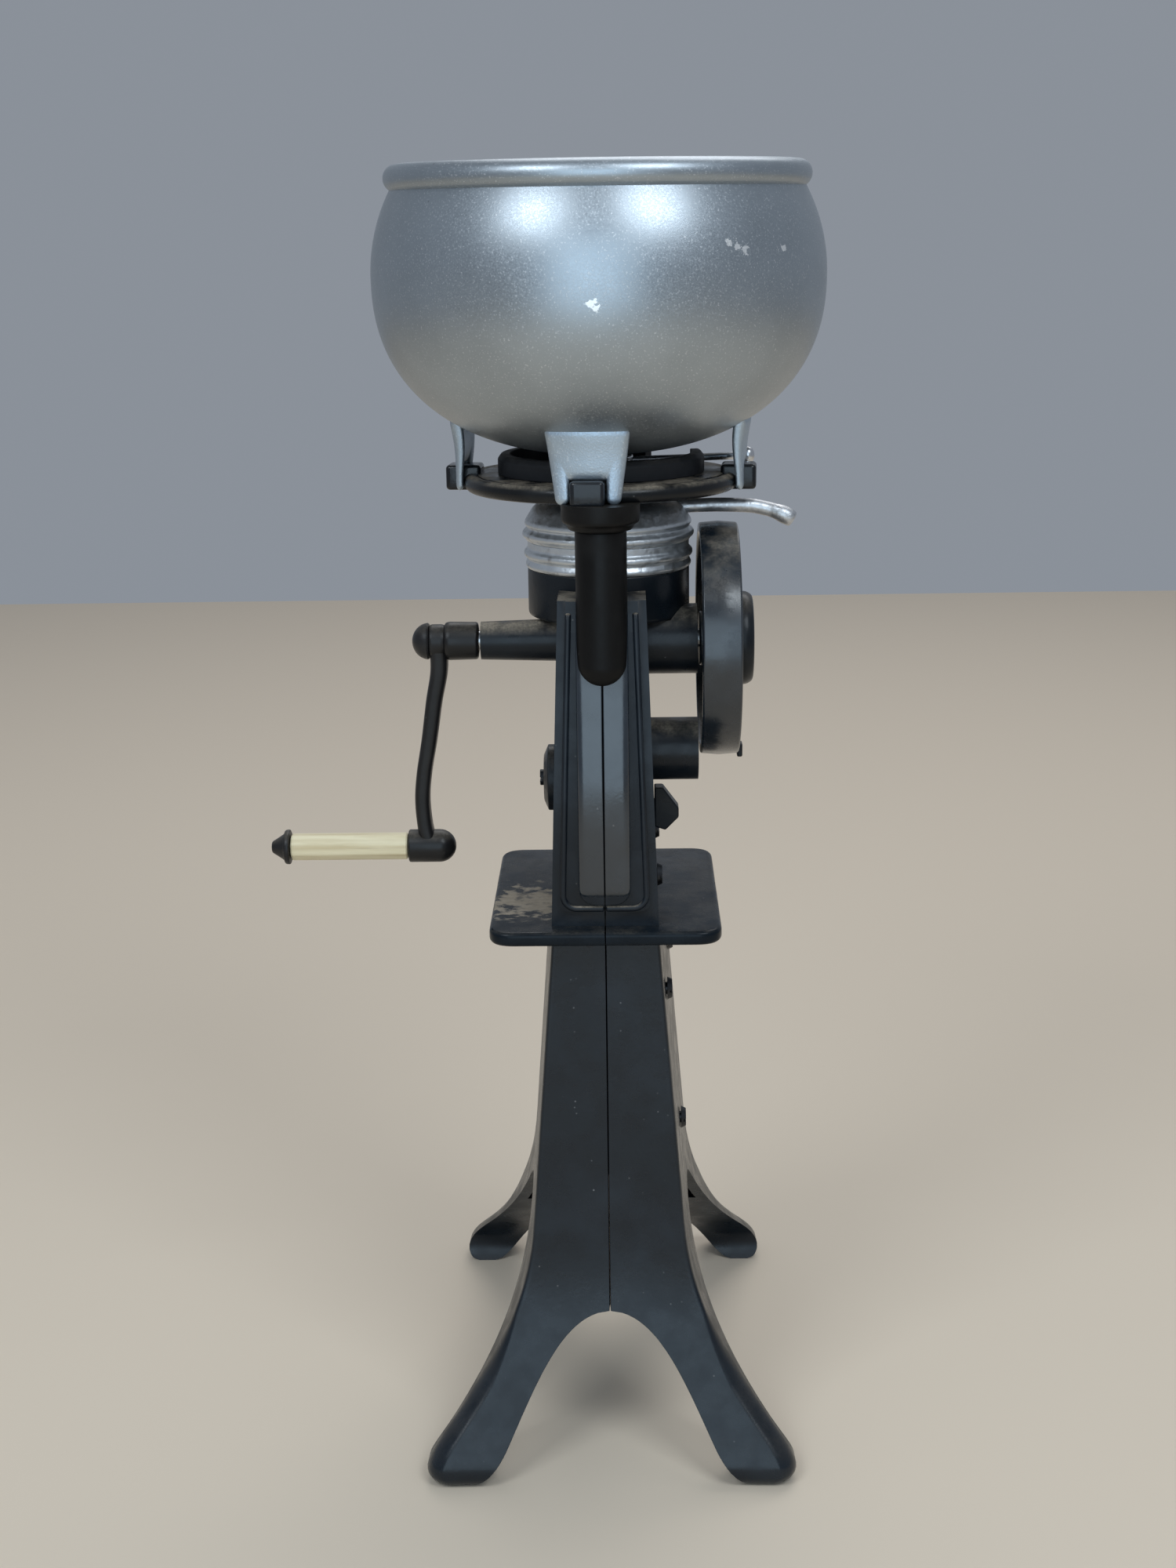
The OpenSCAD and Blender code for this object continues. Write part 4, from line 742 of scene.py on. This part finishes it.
def seat_and_outlet():
    """The ring the can sits in, open where the lever swings, and the collar, rod and knob of
    that lever."""
    ring = rounded([[14.7, PLATE_TOP], [16.7, PLATE_TOP], [16.7, 162.5], [16.1, RING_TOP],
                    [14.7, RING_TOP]], [0.1, 0.2, 0.25, 0.25, 0.2])
    add_piece("seat_ring_cast", turned(ring, sides=120, span=(60, 370)), "ring", "bracket",
              "seat_ring")
    collar = rounded([[3.26, 160.6], [5.2, 160.6], [5.2, 162.8], [3.26, 162.8]], 0.35)
    add_piece("lever_collar", turned(collar, sides=64), "bright", "lever", "outlet_lever")
    rod = np.array([[x, 0.0, LEVER_Z] for x in np.linspace(4.6, 24.0, 12)])
    rod = swept(rod, 0.6, 0.6, box_section(20, 2.0))
    a = np.radians(np.linspace(-90, 90, 17))
    knob = np.stack([1.15 * np.cos(a) + 1e-4, 1.4 * np.sin(a) * (1 + 0.06 * np.cos(a))], -1)
    knob = turned(knob, (24.9, 0, LEVER_Z), "Z", 40)
    for name, shape in (("lever_rod", rod), ("lever_knob", knob)):
        add_piece(name, turn_z(shape, LEVER_TURN), "bright", "lever")


def post():
    """A capsule with a socket for the bracket's pin. Its lower front half moves forward by up to
    2.6 mm on a smooth step, so that its round foot stands proud of the rib."""
    radius, socket, forward = 4.0, 2.05, 2.6
    a = np.radians(np.linspace(-89.9, 0, 14))
    ball = np.stack([radius * np.cos(a), POST_FOOT + radius + radius * np.sin(a)], -1)
    top = rounded([[radius, 150.0], [radius, POST_TOP], [socket, POST_TOP], [socket, 138.3],
                   [0.01, 138.3]], [0, 0.35, 0.2, 0, 0], closed=False)
    points, faces = turned(np.concatenate([ball, top]), (0, POST_Y, 0), "Z", 64)
    lower = np.clip((149.0 - points[:, 2]) / 15.0, 0, 1)
    front = np.clip((POST_Y - points[:, 1]) / 0.8, 0, 1)
    points[:, 1] -= forward * front * lower ** 2 * (3 - 2 * lower)
    add_piece("post_casting", (points, faces), "matt", "stand", "bracket_post")


# ---- casing, covers and spouts


def casing_and_covers():
    """The black bowl casing and the two ribbed covers on it, turned about the spindle."""
    centre = (SPINDLE_X, 0, 0)
    z = CASING_Z
    casing = rounded([[2.4, z], [13.2, z], [13.2, CASING_TOP], [12.0, CASING_TOP],
                      [12.0, z + 1.4], [3.6, z + 1.4], [3.6, z + 3.4], [2.4, z + 3.4]],
                     [0.1, 0.7, 0.35, 0.2, 0.8, 0.4, 0.2, 0.1])
    add_piece("bowl_casing_cast", turned(casing, centre), "black", "stand", "bowl_casing")
    z = CASING_TOP
    skim = rounded([[11.1, z - 1.3], [12.0, z - 1.3], [12.0, z], [13.25, z], [13.6, z + 0.55],
                    [13.3, z + 1.15], [13.1, z + 1.5], [13.75, z + 2.0], [13.75, z + 2.7],
                    [13.15, z + 3.2], [13.2, SKIM_TOP], [12.3, SKIM_TOP], [12.3, z + 0.4],
                    [11.1, z]],
                   [0.1, 0.1, 0, 0.2, 0.4, 0.3, 0.3, 0.3, 0.3, 0.3, 0.15, 0.1, 0.1, 0.1])
    add_piece("skim_cover_turned", turned(skim, centre), "tin", "stand", "skim_cover")
    z = SKIM_TOP + SEAT_GAP
    cream = rounded([[12.55, z], [13.35, z], [13.5, z + 0.35], [14.0, z + 0.75], [14.0, z + 1.35],
                     [13.45, z + 1.85], [13.2, z + 2.25], [13.6, z + 2.6], [13.55, z + 3.2],
                     [13.1, z + 3.9], [12.0, z + 5.7], [9.5, z + 6.5], [4.0, CREAM_TOP],
                     [3.0, CREAM_TOP], [3.0, CREAM_TOP - 0.9], [11.55, z + 4.8], [12.55, z + 3.0]],
                    [0.1, 0.2, 0.3, 0.3, 0.3, 0.4, 0.3, 0.25, 0.3, 1.0, 1.2, 1.5, 0.4, 0.1, 0.1,
                     0.3, 0.3])
    add_piece("cream_cover_turned", turned(cream, centre), "tin", "cream_cover", "cream_cover")


def spouts():
    """Two drooping tubes: level, then an arc of 14 mm radius. The cream spout rises a little in
    the middle, and thickens towards a lumpy flared tip."""
    bore, bend_r, bend_x = 0.75, 14, 22.58
    level = np.linspace(9.6, 22.4, 18)[:, None] * [1, 0, 0]
    a = np.radians(np.linspace(0, 32, 12))[1:]
    bend = np.stack([bend_x + bend_r * np.sin(a), 0 * a, -bend_r * (1 - np.cos(a))], -1)
    path = np.concatenate([level, bend])
    s = np.linspace(0, 1, len(path))
    rise = 0.35 * np.sin(np.clip(s / 0.75, 0, 1) * math.pi)
    swell = 1.1 + 0.1 * s + 0.26 * np.exp(-((s - 0.93) / 0.07) ** 2)
    cream_path = path + np.stack([0 * s, 0 * s, rise], -1)
    cream = pipe(cream_path + [SPINDLE_X, 0, 154.1], swell, bore)
    add_piece("cream_spout_tube", cream, "spout", "cream_cover", "cream_spout",
              60)
    points, faces = turn_z(pipe(path[4:] + [0, 0, 147.6], 1.25, bore), 90)
    add_piece("skim_spout_tube", (points + [SPINDLE_X, 0, 0], faces), "tin", "stand",
              "skim_spout", 60)


# ---- crank, grip and pulley


def crank():
    """Hub, arm and boss of the crank, and the round nut that holds it."""
    centre = (0, CRANK_Y, CRANK_Z)
    hub = rounded([[SHAFT_R, -25.8], [2.9, -25.8], [3.15, -25.2], [3.05, -20.4], [SHAFT_R, -20.2]],
                  [0.1, 0.3, 0.4, 0.4, 0.1])
    add_piece("crank_hub", turned(hub, centre, "X", 64), "crank", "crank", "crank_arm")
    neck = rounded([[SHAFT_R, -28.4], [2.5, -28.4], [2.75, -28.0], [2.75, -26.3], [2.55, -25.7],
                    [SHAFT_R, -25.7]], 0.25)
    add_piece("crank_neck", turned(neck, centre, "X", 64), "crank", "crank")
    knots = np.array([[-27.0, 1.2], [-26.9, -4.5], [-27.9, -10], [-28.9, -16.5], [-29.9, -22],
                      [-30.35, -26.5], [-30.1, -31], [-29.5, -34.0]])
    path = smooth_path(np.insert(knots, 1, 0.0, 1) + centre)
    s = np.linspace(0, 1, len(path))
    wide = 2.3 - 0.15 * s - 0.25 * np.sin(s * math.pi)
    thin = 1.5 - 0.22 * s - 0.12 * np.sin(s * math.pi)
    add_piece("crank_arm_bar", swept(path, wide, thin, box_section(28, 3.4)), "crank",
              "crank", crease=60)
    boss_r, nut_r = 2.75, 3.0
    a = np.radians(np.linspace(0, 88, 10))
    end = np.stack([np.maximum(boss_r * np.sin(a), 1e-4), -25.0 - boss_r * (1 - np.cos(a))], -1)
    boss = np.concatenate([end, rounded([[boss_r, -30.0], [boss_r, -32.9], [0.9, -32.9],
                                         [0.9, -29.2], [0.01, -29.2]], [0, 0.35, 0.1, 0, 0],
                                        closed=False)])
    add_piece("crank_foot_boss", turned(boss, GRIP_CENTRE, "X", 56), "crank", "crank")
    a = np.radians(np.linspace(0, 84, 12))
    dome = np.stack([np.maximum(nut_r * np.sin(a), 1e-4), -31.2 + 2.8 * (1 - np.cos(a))], -1)
    nut = np.concatenate([dome, [[nut_r, -28.65], [2.85, -28.4], [SHAFT_R, -28.4], [SHAFT_R, -30.0],
                                 [0.01, -30.0]]])
    add_piece("crank_nut_domed", turned(nut, centre, "X", 56), "crank", "crank", "crank_nut")


def grip():
    """Eight-sided grip with eased corners and ends, and its turned end cap."""
    a = np.radians(np.arange(8) * 45 + 22.5)
    corner = np.stack([np.cos(a), np.sin(a)], -1) * (GRIP_HALF / math.cos(math.pi / 8))
    path = np.linspace(-52.35, -33.35, 24)[:, None] * [1, 0, 0] + GRIP_CENTRE
    add_piece("grip_turned", swept(path, 1.0, 1.0, rounded(corner, 0.35), 4), "wood",
              "grip", "handle_grip", 24)
    cap = rounded([[0.01, -55.95], [0.9, -55.95], [1.35, -55.2], [2.3, -53.75], [2.85, -53.7],
                   [2.95, -52.9], [2.7, -52.8], [0.01, -52.8]],
                  [0, 0.35, 0.5, 0.4, 0.35, 0.3, 0.1, 0])
    add_piece("grip_end_cap", turned(cap, GRIP_CENTRE, "X", 56), "crank", "crank", "grip_cap")


def pulley():
    """The flat pulley and its key, eased, and the turned cap on its end."""
    eased_copy("pulley_cast", "belt_pulley", "pulley", 0.3, "crank")
    cap = rounded([[SHAFT_R, 21.85], [7.6, 21.85], [7.6, 23.3], [6.9, 24.35], [4.2, 24.15],
                   [3.9, 23.85], [0.01, 23.85]], [0.1, 0.2, 0.6, 0.5, 0.4, 0.4, 0])
    add_piece("pulley_cap_turned", turned(cap, (0, CRANK_Y, CRANK_Z), "X", 72), "black", "crank",
              "pulley_cap")
    eased_copy("pulley_key_eased", "pulley_key", "black", 0.25, "crank")


# ---- pedestal and shelf


def leg_flare(z):
    """Share of the legs' flare: all of it over the toe, falling as a power to none at its top.
    The turn at the toe is soft: what is missing, m, becomes half of m + sqrt(m^2 + soft^2)."""
    top, height, soft, power = 40.0, 36.0, 0.07, 2.05
    missing = 1 - np.clip((top - z) / height, 0, 2)
    return np.clip(1 - (missing + np.sqrt(missing ** 2 + soft ** 2)) / 2, 0, 1) ** power


def reach(z, top, spread, flare):
    """Distance of an outer face from the axis: it widens evenly from the shelf to the floor, and
    the flare is added to it."""
    return top + spread * (1 - z / SHELF_Z) + flare * leg_flare(z)


def rounded_in(z, height, depth):
    """How far an edge draws in below the given height: a quarter ellipse of that depth."""
    gone = np.clip((height - z) / height, 0, 1)
    return depth * (1 - np.sqrt(1 - gone ** 2))


def leg_rows(z, depth):
    """The half section at each height, moved in by depth, as two runs of points: from the seam
    or front arch round the front corner to the side arch, and on round the back corner. The
    arches are near ellipses: the front one flares at its foot, and the side one leaves legs of
    an even depth that lengthen into toes."""
    drawn_in = rounded_in(z, 3.4, 2.6) + depth
    front, back = reach(z, 25.0, 6.2, 11.0), reach(z, 15.0, 9.2, 24.0)
    w, f, b = reach(z, 8.4, 7.2, 15.5) - drawn_in, front - drawn_in, back - drawn_in
    c = 0.4 + 1.7 * np.clip((FRONT_ARCH_H - z) / 11.0, 0, 1) + 1.2 * np.clip(1 - z / 9.0, 0, 1) ** 2
    cy = np.minimum(2 * c, 3.4)
    splay = 1.1 - 3.0 * leg_flare(z)
    t = np.clip(z / FRONT_ARCH_H, 0, 1)
    front_gap = 14.0 * np.sqrt(1 - t ** 2) + 6.3 * (1 - t) ** 2.3 + rounded_in(z, 6.5, 3.0)
    leg_d = LEG_D + TOE_EXTRA * np.clip(1 - z / TOE_RISE, 0, 1) ** 2
    crown = np.sqrt(1 - np.clip(z / SIDE_ARCH_H, 0, 1) ** 3)
    edge_a, edge_b = -(front - leg_d) * crown, (back - leg_d) * crown
    t = np.linspace(0, 1, 22)[None, :]
    s = np.linspace(0, 1, 7)[None, 1:-1]
    valley = 0.8 * (1 - front_gap / np.maximum(w - c, 1e-6))
    front_gap = np.maximum(front_gap, 0.0 if depth else SEAM)

    def col(v):
        """A value for each height, as a column."""
        return np.broadcast_to(v, z.shape)[:, None]

    def line(x0, y0, x1, y1):
        """Evenly spaced places on a straight line."""
        return np.stack([col(a) + (col(b) - col(a)) * t for a, b in ((x0, x1), (y0, y1))], -1)

    def curve(x0, y0, x1, y1, kx, ky):
        """Quadratic curve between two places, pulled most of the way to the corner."""
        kx, ky = 0.68 * kx + 0.16 * (x0 + x1), 0.68 * ky + 0.16 * (y0 + y1)
        return np.stack([col(a) * (1 - s) ** 2 + 2 * col(k) * s * (1 - s) + col(e) * s ** 2
                         for a, k, e in ((x0, kx, x1), (y0, ky, y1))], -1)

    near = -w - splay * (edge_a + f) / (b + f)
    far = -w - splay * (edge_b + f) / (b + f)
    run_a = np.concatenate([line(-front_gap, -f + valley, -w + c, -f),
                            curve(-w + c, -f, -w, -f + cy, -w, -f),
                            line(-w, -f + cy, near, edge_a)], 1)
    run_b = np.concatenate([line(far, edge_b, -w - splay, b - cy),
                            curve(-w - splay, b - cy, -w - splay + c, b, -w - splay, b),
                            line(-w - splay + c, b, -front_gap, b - valley)], 1)
    return run_a, run_b


def pedestal_shell():
    """The left half as rings of points, one per height. Where the legs are solid, a ring goes
    along the outside and straight back. Above that it goes back along the inside, a wall's
    thickness in, as two rings beside the side arch and one over it. Rows lie closest together
    at the crowns of the arches and on the toes."""
    top = SHELF_Z - 1.0
    places = [2.0 * (1 - np.cos(quarter(8))), np.linspace(2.0, 12.0, 14),
              FRONT_ARCH_H * np.sin(quarter(24)), SIDE_ARCH_H * np.sin(quarter(30)),
              np.linspace(SIDE_ARCH_H, top, 24)]
    fixed = np.array([0.0, LEG_SOLID_TOP, FRONT_ARCH_H, SIDE_ARCH_H, top])
    z = np.sort(np.concatenate(places))
    z = z[np.r_[True, np.diff(z) > 0.12] & (np.abs(z[:, None] - fixed).min(1) > 0.2)]
    z = np.sort(np.concatenate([z, fixed]))
    legs, sides, column = (z[z <= LEG_SOLID_TOP], z[(z >= LEG_SOLID_TOP) & (z <= SIDE_ARCH_H)],
                           z[z >= SIDE_ARCH_H])
    shapes = []
    for outer, inner, first in zip(leg_rows(legs, 0.0), leg_rows(legs, WALL), (True, False)):
        seam, edge = (0, -1) if first else (-1, 0)
        across = np.stack([inner[:, edge, 0], outer[:, edge, 1]], -1)
        deep = np.stack([outer[:, seam, 0], outer[:, edge, 1]], -1)
        wall = np.stack([outer[:, seam, 0], inner[:, seam, 1]], -1)
        turn = [across, deep, wall] if first else [wall, deep, across]
        rings = np.concatenate([outer] + [place[:, None] for place in turn], 1)
        shapes.append((raised(rings, legs), ring_faces(rings, top=False)))
        ledge = np.concatenate([inner[-1], deep[-1:]])[None]
        shapes.append((raised(ledge, legs[-1:]), [np.arange(ledge.shape[1])]))
    for outer, inner in zip(leg_rows(sides, 0.0), leg_rows(sides, WALL)):
        rings = np.concatenate([outer, inner[:, ::-1]], 1)
        shapes.append((raised(rings, sides), ring_faces(rings, False, False)))
    (out_a, out_b), (in_a, in_b) = leg_rows(column, 0.0), leg_rows(column, WALL)
    rings = np.concatenate([out_a, out_b[:, 1:], in_b[:, ::-1], in_a[:, ::-1][:, 1:]], 1)
    shapes.append((raised(rings, column), ring_faces(rings, foot=False)))
    return joined(*shapes)


def shelf_half():
    """Half of the shelf plate: straight seam edge, rounded outer corners, eased rim."""
    front, back, side = -30.0, 17.0, -18.45
    corners = [[-SEAM, front], [-SEAM, back], [side, back], [side, front]]
    outline = rounded(corners, [0.2, 0.2, 4.2, 4.2], 10)
    points, faces = slab(outline, edge_rings(SHELF_Z - SHELF_T, SHELF_Z, 0.75))
    points[:, 0] = np.where(points[:, 0] > -1.2, -SEAM, points[:, 0])
    return points, faces


def pedestal():
    """Both halves of the pedestal, and the shelf on each."""
    shell, shelf = pedestal_shell(), shelf_half()
    for side in ("left", "right"):
        add_piece("pedestal_%s_casting" % side, on_side(side, shell), "pedestal", "stand",
                  "pedestal_%s" % side, crease=50, bevel=0.4)
        add_piece("shelf_%s" % side, on_side(side, shelf), "shelf", "stand", crease=40)


def housing_front_y(z):
    """Front of the housing at each height: upright to 104 mm, then a parabola leaning back 6 mm
    by the top, whose parameter t solves z = 104 + 40 t - 1.4 t^2."""
    start, climb, bend = 104.0, 40.0, 1.4
    rise = np.maximum(z - start, 0)
    t = (climb - np.sqrt(np.maximum(climb ** 2 - 4 * bend * rise, 0))) / (2 * bend)
    return -26.5 + 6.0 * t ** 2


def rib_half():
    """Left half of the rounded rib down the housing's front: a section with a round outer edge
    at each height, narrowed at the foot by a quarter circle. It stands 1.6 mm proud, and up to
    1.3 mm more on a parabola whose middle is at 116 mm."""
    foot, top, corner, half_w = 95.0, 140.6, 3.0, 4.05
    z = np.concatenate([foot + corner * (1 - np.cos(np.linspace(0.12, math.pi / 2, 14))),
                        np.linspace(foot + corner, top, 60)[1:]])
    half = half_w - rounded_in(z - foot, corner, corner) * 0.8
    inner = -SEAM / half_w
    section = rounded([[-1.0, -2.0], [-1.0, 1.0], [inner, 1.04], [inner, -2.0]],
                      [0, 0.32, 0.05, 0], 8)
    crown = (1.6 + 1.3 * (1 - ((z - 116.0) / 21.0) ** 2)) * np.minimum(1, 0.4 + (z - foot) / 4.0)
    x = half[:, None] * section[None, :, 0]
    y = housing_front_y(z)[:, None] - crown[:, None] * section[None, :, 1]
    points = np.stack([x, y, z[:, None] + 0 * x], -1)
    return points.reshape(-1, 3), ring_faces(points)


def bead_half():
    """Rounded bead round the left half of the raised panel: down beside the housing's edge, round
    the lower corner on a quarter circle, and along the foot to the seam."""
    foot, corner = 94.5, 2.2
    z_side = np.linspace(140.5, foot + corner, 50)
    share = (z_side - SHELF_Z) / (HOUSING_TOP - SHELF_Z)
    x_side = 1.75 - HOUSING_HALF_W + HOUSING_LEAN * share
    a = quarter(12)[1:]
    x_turn = x_side[-1] + corner * (1 - np.cos(a))
    z_turn = foot + corner * (1 - np.sin(a))
    x_foot = np.linspace(x_turn[-1], -SEAM - 0.3, 12)[1:]
    x = np.concatenate([x_side, x_turn, x_foot])
    z = np.concatenate([z_side, z_turn, np.full(11, foot)])
    path = np.stack([x, housing_front_y(z) - 0.62, z], -1)
    return swept(path, 0.5, 0.48, box_section(20, 2.4), 4)


def housing():
    """Ribs and beads on the two housing halves, the halves themselves, and what sits on them."""
    rib, bead = rib_half(), bead_half()
    for side in ("left", "right"):
        add_piece("housing_rib_%s" % side, on_side(side, rib), "rib", "stand", crease=40)
        add_piece("housing_bead_%s" % side, on_side(side, bead), "housing", "stand", crease=60)
    for side in ("left", "right"):
        eased_copy("housing_%s_casting" % side, "housing_%s" % side, "housing", 0.22)
    eased_copy("drain_lip", "drain_spout", "black", 0.35)
    eased_copy("inspection_cap_turned", "inspection_cap", "black", 0.3)


supply_can()
bracket()
seat_and_outlet()
post()
casing_and_covers()
spouts()
crank()
grip()
pulley()
pedestal()
housing()

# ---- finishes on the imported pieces

FINISH = {
    "cast_black": "black", "ring_charcoal": "ring", "tinned_silver": "tin", "can_silver": "can",
    "bright_steel": "steel", "bowl_metal": "bowl", "bearing_bronze": "bronze", "grip_wood": "wood",
}
slot_of = {row["node"]: row["material_slot"] for row in frame["record"]["subparts"]}

for node_name, packed in frame["nodes"].items():
    look = "blued" if node_name.endswith("_screws") else FINISH[slot_of[node_name]]
    packed.data.materials.clear()
    packed.data.materials.append(MATERIALS[look])
